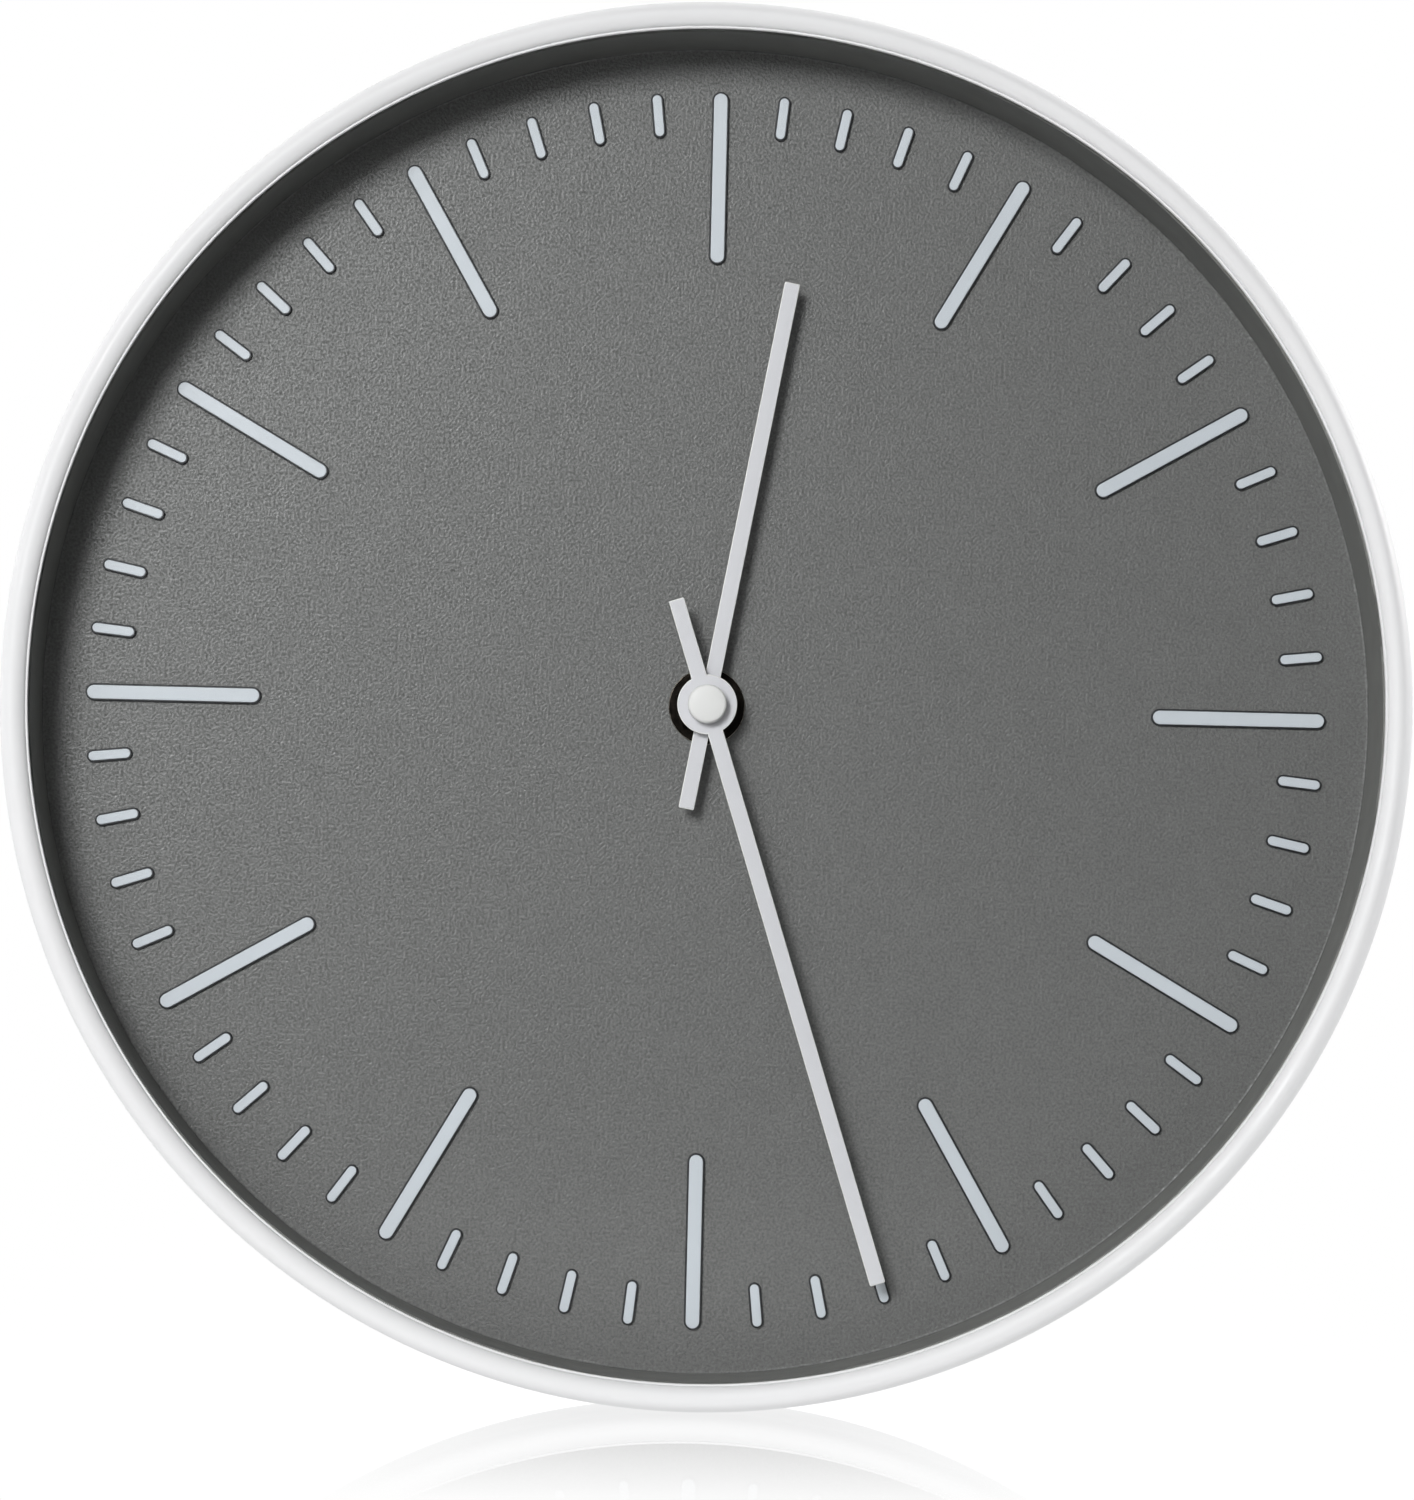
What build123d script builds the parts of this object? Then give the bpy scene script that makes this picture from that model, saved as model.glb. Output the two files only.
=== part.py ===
from build123d import *
import math
import os

# A round wall clock of the 12 inch class with a quartz movement.
# Frame of the part: +Z up, the dial faces -Y and the wall is the plane Y = 0. The origin is the centre of the
# hanger's round hole on the wall plane. The pieces are modelled about the hand axis, then moved down.
# Lengths are in millimetres. Hand angles are degrees clockwise from 12 as the clock is read.

# ---- driving dimensions: case ------------------------------------------------------------------------
HANGER_RISE = 116.0  # from the hand axis up to the hanger's round hole

RIM_R = 152.5  # outside of the rim at its widest
RIM_BACK_R = 151.2  # outside of the rim where it meets the wall
RIM_BACK_CHAMFER = 0.6
RIM_FRONT_Y = -45.0  # crest of the rounded bead
RIM_BORE_R = 148.4
BEAD_INSET = 3.0  # from the rim's widest radius in to the bead's crest
BEAD_BACK_Y = -39.5  # where the bead runs into the rim's side
LIP_R = 146.2  # inner edge of the lip in front of the lens
LIP_Y = -43.3  # front of the lip's inner ledge
LIP_THICKNESS = 1.0
LEDGE_WIDTH = 0.45  # flat ledge at the lip's inner edge
LEDGE_STEP = 0.3  # the ledge stands this much in front of the bead's inner foot

LUG_COUNT = 8  # snap lugs in the rim's bore, behind the tray
LUG_FIRST_ANGLE = 22.5
LUG_ARC = 6.0
LUG_REACH = 1.2
LUG_LENGTH = 3.0
LUG_ROOT = 0.5  # how far a lug is rooted in the rim
LUG_GAP = 0.1

LENS_R = 148.2
LENS_THICKNESS = 2.0
LENS_CHAMFER = 0.2

DIAL_Y = -21.8  # front surface of the dial
DIAL_THICKNESS = 2.5
TRAY_INNER_R = 146.1
TRAY_OUTER_R = 148.1
PAD_HEIGHT = 0.7  # raised pad under each marker
INLAY_HEIGHT = 0.2  # light marker on top of its pad
INLAY_INSET = 0.4  # from the pad's edge to the marker's edge
HOUR_MARK = {"radius": 117.3, "length": 38.6, "width": 3.8}  # pad sizes
MINUTE_MARK = {"radius": 131.6, "length": 10.0, "width": 2.8}
HOUR_ANGLES = [30 * i for i in range(12)]
MINUTE_ANGLES = [6 * i for i in range(60) if i % 5]

RIB_ANGLES = [15 + 30 * i for i in range(12)]
RIB_WIDTH = 1.5
RIB_HEIGHT = 4.0
RIB_INNER_R = 46.0
RIB_OUTER_R = 142.0

HANGER_SHEET = 1.2
HANGER_JOGGLE = 3.7  # from the plate's middle forwards to its ears
HANGER_HOLE_R = 4.5
HANGER_SLOT_W = 4.5
HANGER_SLOT_TOP = 9.0
HANGER_FLAT_X = 11.0  # half widths: the flat middle, where the slope ends, and the ears' ends
HANGER_SLOPE_X = 14.0
HANGER_END_X = 24.0
HANGER_EAR_X = 19.0  # the screws
HANGER_BELOW = 9.0  # from the round hole down to the plate's lower edge
HANGER_HEIGHT = 26.0
HANGER_EAR_Y = -HANGER_SHEET / 2 - HANGER_JOGGLE  # middle of the ears' sheet
POST_R = 4.0
PILOT_DEPTH = 4.0  # of solid post left under the screw's hole

SCREW_HEAD_R = 3.0
SCREW_HEAD_H = 2.0
SCREW_SHANK_R = 1.4
SCREW_LENGTH = 9.0

# ---- driving dimensions: hands and shaft -------------------------------------------------------------
HOUR_ANGLE = 10.1
MINUTE_ANGLE = 162.3
HAND_WIDTH = 3.45
HAND_THICKNESS = 0.6
HAND_CORNER_R = 0.4
HOUR_HAND = {"tip": 95.0, "tail": 23.2, "hub_r": 6.0, "bush_r": 3.6, "height": 5.0}
MINUTE_HAND = {"tip": 131.4, "tail": 24.0, "hub_r": 6.55, "bush_r": 2.6, "height": 7.5}
BUSH_FRONT = 0.4  # a bush stands this far out of its hand in front, and this far behind
BUSH_BACK = 0.6
CAP_R = 4.25
CAP_HEIGHT = 2.8
CAP_ROUND = 0.7
CAP_BASE = MINUTE_HAND["height"] + HAND_THICKNESS + BUSH_FRONT
CAP_SOCKET = 1.0  # depth of the cap's hole over the minute pipe

BUSHING_R = 4.0  # M8 bushing that holds the movement to the dial
BUSHING_BORE_R = 2.6
BUSHING_TOP = 3.6  # its end in front of the dial
BUSHING_HOLE_GAP = 0.1
HOUR_PIPE_R = 2.55
HOUR_PIPE_BORE_R = 1.6
HOUR_PIPE_TOP = HOUR_HAND["height"] + HAND_THICKNESS + 0.6
MINUTE_PIPE_R = 1.55
MINUTE_PIPE_BORE_R = 0.55
MINUTE_PIPE_TOP = CAP_BASE + CAP_SOCKET
ARBOR_R = 0.5
PIVOT_R = 0.35
RUNNING_GAP = 0.05  # radial clearance of a turning arbor in its hole
NUT_ACROSS_FLATS = 12.2
NUT_THICKNESS = 2.2
NUT_TURN = 12.0
NUT_CROWN = 0.9  # the chamfered crown's radius past the flats
NUT_CHAMFER = 0.5
WASHER_R = 8.4
WASHER_THICKNESS = 0.6
RUBBER_R = 9.0
RUBBER_THICKNESS = 0.8

# ---- driving dimensions: movement --------------------------------------------------------------------
MOVEMENT_SIDE = 56.0
MOVEMENT_WALL = 1.5
MOVEMENT_CORNER_R = 3.0
MOVEMENT_BACK_Y = -2.5
BAY_WALL_Z = -10.6  # lower face of the wall between the battery bay and the wheels
BAY_WALL_THICKNESS = 1.2
BATTERY_WINDOW = {"x0": -25.0, "x1": 26.3, "z0": -26.1, "z1": BAY_WALL_Z - 0.1}
BATTERY_R = 7.2
BATTERY_LENGTH = 49.3
BATTERY_X0 = -24.65
BATTERY_NUB = 1.2
BATTERY_NUB_R = 2.75
BATTERY_EDGE = 0.6
BATTERY_FLOOR_GAP = 0.2
BATTERY_Z = -18.4

# ---- sizes that follow from them ---------------------------------------------------------------------
DIAL_BACK_Y = DIAL_Y + DIAL_THICKNESS
LENS_FRONT_Y = LIP_Y + LIP_THICKNESS
LENS_BACK_Y = LENS_FRONT_Y + LENS_THICKNESS
FLOOR_OUTER_Y = DIAL_BACK_Y + RUBBER_THICKNESS  # front face of the movement
FLOOR_Y = FLOOR_OUTER_Y + MOVEMENT_WALL  # inner face of the movement's floor
COVER_Y = MOVEMENT_BACK_Y - MOVEMENT_WALL  # inner face of the movement's cover
INNER_HALF = MOVEMENT_SIDE / 2 - MOVEMENT_WALL
NUT_FRONT_Y = DIAL_Y - WASHER_THICKNESS - NUT_THICKNESS

# ---- gear train, about the hand axis. Each wheel: teeth, module --------------------------------------
CANNON, MINUTE_WHEEL, MINUTE_PINION, HOUR_WHEEL = (14, 0.30), (42, 0.30), (12, 0.28), (48, 0.28)
KNOB_GEAR = (20, 0.30)
CENTRE_WHEEL, THIRD_PINION = (64, 0.25), (8, 0.25)
THIRD_WHEEL, SECONDS_PINION = (60, 9.0 / 34), (8, 9.0 / 34)
SECONDS_WHEEL, FIFTH_PINION = (60, 0.22), (12, 0.22)
FIFTH_WHEEL, ROTOR_PINION = (60, 0.20), (10, 0.20)
TOOTH_ADDENDUM, TOOTH_DEDENDUM = 0.7, 1.1  # in modules
TOOTH_ROOT_SHARE, TOOTH_TIP_SHARE = 0.25, 0.09  # half a tooth's width at its root and tip, in tooth pitches


# ---- helpers -----------------------------------------------------------------------------------------
def slab(sketch, front_y, back_y):
    """A sketch drawn as seen from the front (X right, Z up), thickened between two depths."""
    plane = Plane.XZ.offset(-back_y)
    return extrude(plane * sketch, amount=back_y - front_y, dir=(0, -1, 0))


def disc(x, z, radius, front_y, back_y):
    return slab(Pos(x, z) * Circle(radius), front_y, back_y)


def ring(outer_r, inner_r, front_y, back_y):
    return slab(Circle(outer_r) - Circle(inner_r), front_y, back_y)


def box(x0, x1, front_y, back_y, z0, z1):
    middle = Pos((x0 + x1) / 2, (front_y + back_y) / 2, (z0 + z1) / 2)
    return middle * Box(x1 - x0, back_y - front_y, z1 - z0)


def along_x(radius, x0, x1, y, z):
    return Pos((x0 + x1) / 2, y, z) * Rot(0, 90, 0) * Cylinder(radius, x1 - x0)


def deep(depth):
    """The Y of a depth behind the movement's inner floor."""
    return FLOOR_Y + depth


def arbor(at, radius, front_depth, back_depth):
    """A round bar along Y between two depths behind the movement's inner floor."""
    return disc(*at, radius, deep(front_depth), deep(back_depth))


def above_dial(height):
    """The Y of a height in front of the dial."""
    return DIAL_Y - height


def clockwise(shape, degrees):
    """Turns a shape that points to 12 to an angle clockwise from 12."""
    return Rot(0, degrees, 0) * shape


def polar(distance, degrees):
    """X and Z of a point at an angle counter-clockwise from +X, seen from the front."""
    a = math.radians(degrees)
    return (distance * math.cos(a), distance * math.sin(a))


def moved(point, distance, degrees):
    dx, dz = polar(distance, degrees)
    return (point[0] + dx, point[1] + dz)


def centre_distance(gear_a, gear_b):
    return (gear_a[0] * gear_a[1] + gear_b[0] * gear_b[1]) / 2


def gear_outline(gear, phase):
    """A spur gear with straight-flanked teeth. phase is the angle of one tooth, counter-clockwise from +X."""
    teeth, module = gear
    pitch_r = teeth * module / 2
    tip_r = pitch_r + TOOTH_ADDENDUM * module
    root_r = pitch_r - TOOTH_DEDENDUM * module
    step = 360.0 / teeth
    corners = []
    for i in range(teeth):
        middle = phase + i * step
        corners.append(polar(root_r, middle - TOOTH_ROOT_SHARE * step))
        corners.append(polar(tip_r, middle - TOOTH_TIP_SHARE * step))
        corners.append(polar(tip_r, middle + TOOTH_TIP_SHARE * step))
        corners.append(polar(root_r, middle + TOOTH_ROOT_SHARE * step))
    return make_face(Polyline(*corners, close=True))


def gear_slab(gear, at, phase, layer):
    return slab(Pos(*at) * gear_outline(gear, phase), deep(layer[0]), deep(layer[1]))


def mate_phase(gear, phase, mate, bearing):
    """The phase that puts a gap of the mate where gear's tooth points along the bearing to it."""
    teeth_past = (bearing - phase) * gear[0] / 360.0
    return bearing + 180.0 + (teeth_past - 0.5) * 360.0 / mate[0]


def pan_screw(x, z, seat_y, length, head_r, head_h, shank_r):
    """A cross-head pan screw driven forwards from behind, with its head on the plane seat_y."""
    head = disc(x, z, head_r, seat_y, seat_y + head_h)
    head = fillet(head.edges().group_by(Axis.Y)[-1], head_h * 0.45)
    shank = disc(x, z, shank_r, seat_y - length, seat_y)
    slot_length, slot_width, slot_floor = head_r * 1.2, 0.7, seat_y + head_h * 0.4
    cross = Rectangle(slot_length, slot_width) + Rectangle(slot_width, slot_length)
    return head + shank - slab(Pos(x, z) * cross, slot_floor, seat_y + head_h + 1)


# ---- case --------------------------------------------------------------------------------------------
def frame_ring():
    """The white rim: a bead in front, a lip that holds the lens, and snap lugs behind the tray."""
    bead_x = RIM_R - BEAD_INSET
    foot_x, foot_y = LIP_R + LEDGE_WIDTH, LIP_Y + LEDGE_STEP
    back_x = RIM_BACK_R - RIM_BACK_CHAMFER
    outline = [
        Line((RIM_BORE_R, 0), (back_x, 0)),
        Line((back_x, 0), (RIM_BACK_R, -RIM_BACK_CHAMFER)),
        Line((RIM_BACK_R, -RIM_BACK_CHAMFER), (RIM_R, BEAD_BACK_Y)),
        EllipticalCenterArc((bead_x, BEAD_BACK_Y), BEAD_INSET, BEAD_BACK_Y - RIM_FRONT_Y, 270, arc_size=90),
        EllipticalCenterArc((bead_x, foot_y), bead_x - foot_x, foot_y - RIM_FRONT_Y, 180, arc_size=90),
        Line((foot_x, foot_y), (foot_x, LIP_Y)),
        Line((foot_x, LIP_Y), (LIP_R, LIP_Y)),
        Line((LIP_R, LIP_Y), (LIP_R, LENS_FRONT_Y)),
        Line((LIP_R, LENS_FRONT_Y), (RIM_BORE_R, LENS_FRONT_Y)),
        Line((RIM_BORE_R, LENS_FRONT_Y), (RIM_BORE_R, 0)),
    ]
    body = revolve(make_face(outline), Axis.Y)
    lug_front = DIAL_BACK_Y + LUG_GAP
    lug_root = RIM_BORE_R + LUG_ROOT
    lug_tip = (RIM_BORE_R - LUG_REACH, lug_front)
    lug_outline = Polyline((lug_root, lug_front), lug_tip, (lug_root, lug_front + LUG_LENGTH), close=True)
    lug = revolve(make_face(lug_outline), Axis.Y, revolution_arc=LUG_ARC)
    for i in range(LUG_COUNT):
        body += Rot(0, LUG_FIRST_ANGLE + 360 / LUG_COUNT * i, 0) * lug
    return body


def lens():
    return chamfer(disc(0, 0, LENS_R, LENS_FRONT_Y, LENS_BACK_Y).edges(), LENS_CHAMFER)


def marker_sketches(mark, angles, shrink):
    """Round-ended radial bars at the given angles, smaller all round by shrink."""
    length = mark["length"] - 2 * shrink
    width = mark["width"] - 2 * shrink
    bar = Pos(0, mark["radius"]) * Rot(0, 0, 90) * SlotOverall(length, width)
    return [Rot(0, 0, -angle) * bar for angle in angles]


def dial_tray():
    """The grey dial with its upstanding wall, marker pads in front, and ribs and hanger posts behind."""
    hole_r = BUSHING_R + BUSHING_HOLE_GAP
    section = Polyline(
        (hole_r, DIAL_Y),
        (TRAY_INNER_R, DIAL_Y),
        (TRAY_INNER_R, LENS_BACK_Y),
        (TRAY_OUTER_R, LENS_BACK_Y),
        (TRAY_OUTER_R, DIAL_BACK_Y),
        (hole_r, DIAL_BACK_Y),
        close=True,
    )
    body = revolve(make_face(section), Axis.Y)
    pads = marker_sketches(HOUR_MARK, HOUR_ANGLES, 0) + marker_sketches(MINUTE_MARK, MINUTE_ANGLES, 0)
    body += [slab(pad, DIAL_Y - PAD_HEIGHT, DIAL_Y) for pad in pads]
    rib_back = DIAL_BACK_Y + RIB_HEIGHT
    rib = box(-RIB_WIDTH / 2, RIB_WIDTH / 2, DIAL_BACK_Y, rib_back, RIB_INNER_R, RIB_OUTER_R)
    body += [clockwise(rib, angle) for angle in RIB_ANGLES]
    body += ring(RIB_INNER_R + RIB_WIDTH, RIB_INNER_R, DIAL_BACK_Y, rib_back)
    ear_front = HANGER_EAR_Y - HANGER_SHEET / 2
    for x in (-HANGER_EAR_X, HANGER_EAR_X):
        body += disc(x, HANGER_RISE, POST_R, DIAL_BACK_Y, ear_front)
        body -= disc(x, HANGER_RISE, SCREW_SHANK_R, DIAL_BACK_Y + PILOT_DEPTH, ear_front + 1)
    return body


def markers(mark, angles):
    front = DIAL_Y - PAD_HEIGHT - INLAY_HEIGHT
    return [slab(bar, front, DIAL_Y - PAD_HEIGHT) for bar in marker_sketches(mark, angles, INLAY_INSET)]


def hanger_plate():
    """A joggled steel strip: its middle is flush with the wall and its ears are screwed to the posts."""
    middle_y = -HANGER_SHEET / 2
    half = [(HANGER_FLAT_X, middle_y), (HANGER_SLOPE_X, HANGER_EAR_Y), (HANGER_END_X, HANGER_EAR_Y)]
    bend = Polyline([(-x, y) for x, y in reversed(half)] + half)
    strip = extrude(trace(bend, HANGER_SHEET), amount=HANGER_HEIGHT)
    strip = Pos(0, 0, HANGER_RISE - HANGER_BELOW) * strip
    keyhole = Circle(HANGER_HOLE_R) + Pos(0, HANGER_SLOT_TOP / 2) * Rectangle(HANGER_SLOT_W, HANGER_SLOT_TOP)
    keyhole += Pos(0, HANGER_SLOT_TOP) * Circle(HANGER_SLOT_W / 2)
    strip -= slab(Pos(0, HANGER_RISE) * keyhole, -HANGER_SHEET - 1, 1)
    for x in (-HANGER_EAR_X, HANGER_EAR_X):
        strip -= disc(x, HANGER_RISE, SCREW_SHANK_R, HANGER_EAR_Y - HANGER_SHEET, 1)
    return strip


def hanger_screws():
    seat = HANGER_EAR_Y + HANGER_SHEET / 2
    sizes = (SCREW_LENGTH, SCREW_HEAD_R, SCREW_HEAD_H, SCREW_SHANK_R)
    return [pan_screw(x, HANGER_RISE, seat, *sizes) for x in (-HANGER_EAR_X, HANGER_EAR_X)]


# ---- hands and the stack that holds the movement -----------------------------------------------------
def hex_nut():
    outline = RegularPolygon(NUT_ACROSS_FLATS / 2, 6, major_radius=False, rotation=NUT_TURN) - Circle(BUSHING_R)
    nut = slab(outline, NUT_FRONT_Y, NUT_FRONT_Y + NUT_THICKNESS)
    crown = disc(0, 0, NUT_ACROSS_FLATS / 2 + NUT_CROWN, NUT_FRONT_Y, NUT_FRONT_Y + NUT_THICKNESS)
    return nut & chamfer(crown.edges().group_by(Axis.Y)[0], NUT_CHAMFER)


def hand(spec, angle):
    """A flat bar with a round hub, turned to its angle, its rear face at the hand's height."""
    length = spec["tip"] + spec["tail"]
    blade = Pos(0, (spec["tip"] - spec["tail"]) / 2) * RectangleRounded(HAND_WIDTH, length, HAND_CORNER_R)
    outline = blade + Circle(spec["hub_r"]) - Circle(spec["bush_r"])
    upright = slab(outline, above_dial(spec["height"] + HAND_THICKNESS), above_dial(spec["height"]))
    return clockwise(upright, angle)


def hand_bush(spec, pipe_r):
    """The brass bush pressed in a hand's hub."""
    front = above_dial(spec["height"] + HAND_THICKNESS + BUSH_FRONT)
    return ring(spec["bush_r"], pipe_r, front, above_dial(spec["height"] - BUSH_BACK))


def centre_cap():
    cap = disc(0, 0, CAP_R, above_dial(CAP_BASE + CAP_HEIGHT), above_dial(CAP_BASE))
    cap = fillet(cap.edges().group_by(Axis.Y)[0], CAP_ROUND)
    return cap - disc(0, 0, MINUTE_PIPE_R, above_dial(CAP_BASE + CAP_SOCKET), above_dial(CAP_BASE - 1))


# ---- places of the arbors, about the hand axis -------------------------------------------------------
CENTRE = (0.0, 0.0)
THIRD_BEARING = 150.0
MINUTE_WHEEL_BEARING = 20.0
KNOB_BEARING = 40.0
FIFTH_BEARING = 60.0
ROTOR_BEARING = 100.0
THIRD_AT = moved(CENTRE, centre_distance(CENTRE_WHEEL, THIRD_PINION), THIRD_BEARING)
MINUTE_WHEEL_AT = moved(CENTRE, centre_distance(CANNON, MINUTE_WHEEL), MINUTE_WHEEL_BEARING)
KNOB_AT = moved(MINUTE_WHEEL_AT, centre_distance(MINUTE_WHEEL, KNOB_GEAR), KNOB_BEARING)
FIFTH_AT = moved(CENTRE, centre_distance(SECONDS_WHEEL, FIFTH_PINION), FIFTH_BEARING)
ROTOR_AT = moved(FIFTH_AT, centre_distance(FIFTH_WHEEL, ROTOR_PINION), ROTOR_BEARING)

# ---- tooth phases: each gear of an arbor may be set on it at its own angle ---------------------------
CANNON_PHASE = 0.0
MINUTE_WHEEL_PHASE = mate_phase(CANNON, CANNON_PHASE, MINUTE_WHEEL, MINUTE_WHEEL_BEARING)
KNOB_PHASE = mate_phase(MINUTE_WHEEL, MINUTE_WHEEL_PHASE, KNOB_GEAR, KNOB_BEARING)
HOUR_WHEEL_PHASE = 0.0
MINUTE_PINION_PHASE = mate_phase(HOUR_WHEEL, HOUR_WHEEL_PHASE, MINUTE_PINION, MINUTE_WHEEL_BEARING)
CENTRE_WHEEL_PHASE = 0.0
THIRD_PINION_PHASE = mate_phase(CENTRE_WHEEL, CENTRE_WHEEL_PHASE, THIRD_PINION, THIRD_BEARING)
SECONDS_PINION_PHASE = 0.0
THIRD_WHEEL_PHASE = mate_phase(SECONDS_PINION, SECONDS_PINION_PHASE, THIRD_WHEEL, THIRD_BEARING)
SECONDS_WHEEL_PHASE = 0.0
FIFTH_PINION_PHASE = mate_phase(SECONDS_WHEEL, SECONDS_WHEEL_PHASE, FIFTH_PINION, FIFTH_BEARING)
FIFTH_WHEEL_PHASE = 0.0
ROTOR_PINION_PHASE = mate_phase(FIFTH_WHEEL, FIFTH_WHEEL_PHASE, ROTOR_PINION, ROTOR_BEARING)

# ---- depths behind the movement's inner floor: front and back of each layer --------------------------
HOUR_LAYER = (0.4, 1.4)
MINUTE_PINION_LAYER = (0.3, 2.1)
MINUTE_WHEEL_LAYER = (2.1, 3.1)
CANNON_LAYER = (2.0, 3.2)
THIRD_PINION_LAYER = (3.6, 5.0)
CENTRE_LAYER = (3.8, 4.6)
BRIDGE_LAYER = (5.2, 6.0)
SECONDS_PINION_LAYER = (6.2, 7.9)
THIRD_LAYER = (6.4, 7.0)
MAGNET_LAYER = (6.5, 8.6)
STATOR_LAYER = (7.1, 7.9)
FIFTH_PINION_LAYER = (7.4, 9.4)
SECONDS_LAYER = (7.9, 8.5)
CORE_LAYER = (7.9, 8.7)
ROTOR_PINION_LAYER = (9.0, 10.4)
BOARD_LAYER = (9.2, 10.2)
FIFTH_LAYER = (9.4, 10.0)
COVER_DEPTH = COVER_Y - FLOOR_Y
PIVOT_END = COVER_DEPTH - 0.6  # rear end of the arbors
ARBOR_END = PIVOT_END - 1.2  # where an arbor steps down to its rear pivot
ABOVE_BRIDGE = 6.2  # where the arbors that stand on the bridge step down to their front pivots
FRONT_PIVOT_END = 5.3  # front end of those pivots, in the bridge

# ---- details of the movement -------------------------------------------------------------------------
MINUTE_STUD_R, MINUTE_STUD_TOP = 0.9, 3.4  # fixed stud of the minute wheel
THIRD_POST_R, THIRD_POST_TOP = 1.5, 3.3
THIRD_HOLE_FLOOR, THIRD_PIVOT_END, THIRD_ARBOR_FRONT = 0.8, 1.0, 3.4
KNOB_POST_R, KNOB_POST_TOP, KNOB_HOLE_FLOOR = 2.2, 1.6, 0.6
BRIDGE_POST_R, BRIDGE_PILOT_FLOOR = 1.8, 2.0
BRIDGE_POSTS = [(-20.0, -4.0), (20.0, -4.0), (-13.0, 15.5), (19.5, 17.5)]
BRIDGE_SIZE, BRIDGE_MIDDLE_Z, BRIDGE_CORNER_R = (44.0, 26.0), 6.0, 2.0
BRIDGE_HOLE_GAP = 0.4  # round an arbor that passes the bridge without running in it
BRIDGE_SCREW = {"length": 3.0, "head_r": 1.5, "head_h": 0.9, "shank_r": 0.7}
BOARD_POSTS = [(-24.0, 23.0), (-24.0, 15.5)]
BOARD_POST_R = 1.6
BOSS_R, BOSS_HEIGHT = 1.3, 1.6  # blind bosses for the rear pivots
TONGUE_FRONT = 8.5  # front end of the cover's snap tongues
TONGUE_THICKNESS = 1.0
SIDE_TONGUE_Z = (-6.0, 0.0)
TOP_TONGUE_X = (-18.0, 19.0)
TOP_TONGUE_HALF, TOP_TONGUE_THICKNESS = 3.0, 0.7

MAGNET_R = 3.0
MAGNET_GAP = 0.5
STATOR_X0, STATOR_X1 = -9.0, 13.0
STATOR_HALF = 4.5
STATOR_LEG_W = 2.5
COIL_Z = 22.2
COIL_X0, COIL_X1 = -6.2, 10.2
COIL_LEG_OVERLAP = 1.6  # the stator's legs end this far past the coil's middle
BOBBIN_TUBE_R = 1.7
BOBBIN_FLANGE_R = 3.6
BOBBIN_FLANGE = 0.8
WINDING_R = 3.2
CORE_HALF = 1.0

BOARD = {"x0": -25.2, "x1": -10.6, "z0": 13.2, "z1": 25.2}
CRYSTAL = {"x0": -21.0, "x1": -15.0, "z": 22.6, "r": 1.0}
CHIP = {"x": -16.4, "z": 17.2, "r": 2.6, "height": 1.1, "round": 0.8}
STRIP_THICKNESS, STRIP_END_Z, STRIP_BACK_GAP = 0.4, -24.0, 0.4
LEAF_THICKNESS, LEAF_HEIGHT, LEAF_FRONT_Y, LEAF_BACK_Y = 0.3, 7.0, -15.6, -5.6

KNOB_ARBOR_R = 1.2
KNOB_ARBOR_FRONT = 0.8
KNOB_R = 6.0
KNOB_FRONT_GAP = 1.4  # from the well's floor to the grip
KNOB_PROUD = 1.3  # the grip stands this far behind the cover
KNOB_FLUTES = 24
FLUTE_R = 0.45
FLUTE_OFFSET = 0.2
KNOB_WELL_R = 6.6
KNOB_WELL_WALL = 1.0
KNOB_WELL_DEPTH = 10.6


# ---- movement ----------------------------------------------------------------------------------------
def movement_base():
    """The front shell: a tray with the threaded bushing, the battery bay's wall and the posts for the train."""
    inner_side = 2 * INNER_HALF
    inner_corner_r = MOVEMENT_CORNER_R - MOVEMENT_WALL
    shell = slab(RectangleRounded(MOVEMENT_SIDE, MOVEMENT_SIDE, MOVEMENT_CORNER_R), FLOOR_OUTER_Y, COVER_Y)
    shell -= slab(RectangleRounded(inner_side, inner_side, inner_corner_r), FLOOR_Y, COVER_Y + 1)
    shell += box(-INNER_HALF, INNER_HALF, FLOOR_Y, COVER_Y, BAY_WALL_Z, BAY_WALL_Z + BAY_WALL_THICKNESS)
    shell += ring(BUSHING_R, BUSHING_BORE_R, above_dial(BUSHING_TOP), FLOOR_OUTER_Y)
    shell -= disc(0, 0, BUSHING_BORE_R, FLOOR_OUTER_Y - 1, FLOOR_Y + 1)
    shell += arbor(MINUTE_WHEEL_AT, MINUTE_STUD_R, 0, MINUTE_STUD_TOP)
    shell += arbor(THIRD_AT, THIRD_POST_R, 0, THIRD_POST_TOP)
    shell -= arbor(THIRD_AT, PIVOT_R + RUNNING_GAP, THIRD_HOLE_FLOOR, THIRD_POST_TOP + 1)
    shell += arbor(KNOB_AT, KNOB_POST_R, 0, KNOB_POST_TOP)
    shell -= arbor(KNOB_AT, KNOB_ARBOR_R + RUNNING_GAP, KNOB_HOLE_FLOOR, KNOB_POST_TOP + 1)
    for at in BRIDGE_POSTS:
        shell += arbor(at, BRIDGE_POST_R, 0, BRIDGE_LAYER[0])
        shell -= arbor(at, BRIDGE_SCREW["shank_r"], BRIDGE_PILOT_FLOOR, BRIDGE_LAYER[0] + 1)
    for at in BOARD_POSTS:
        shell += arbor(at, BOARD_POST_R, 0, BOARD_LAYER[0])
    return shell


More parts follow.
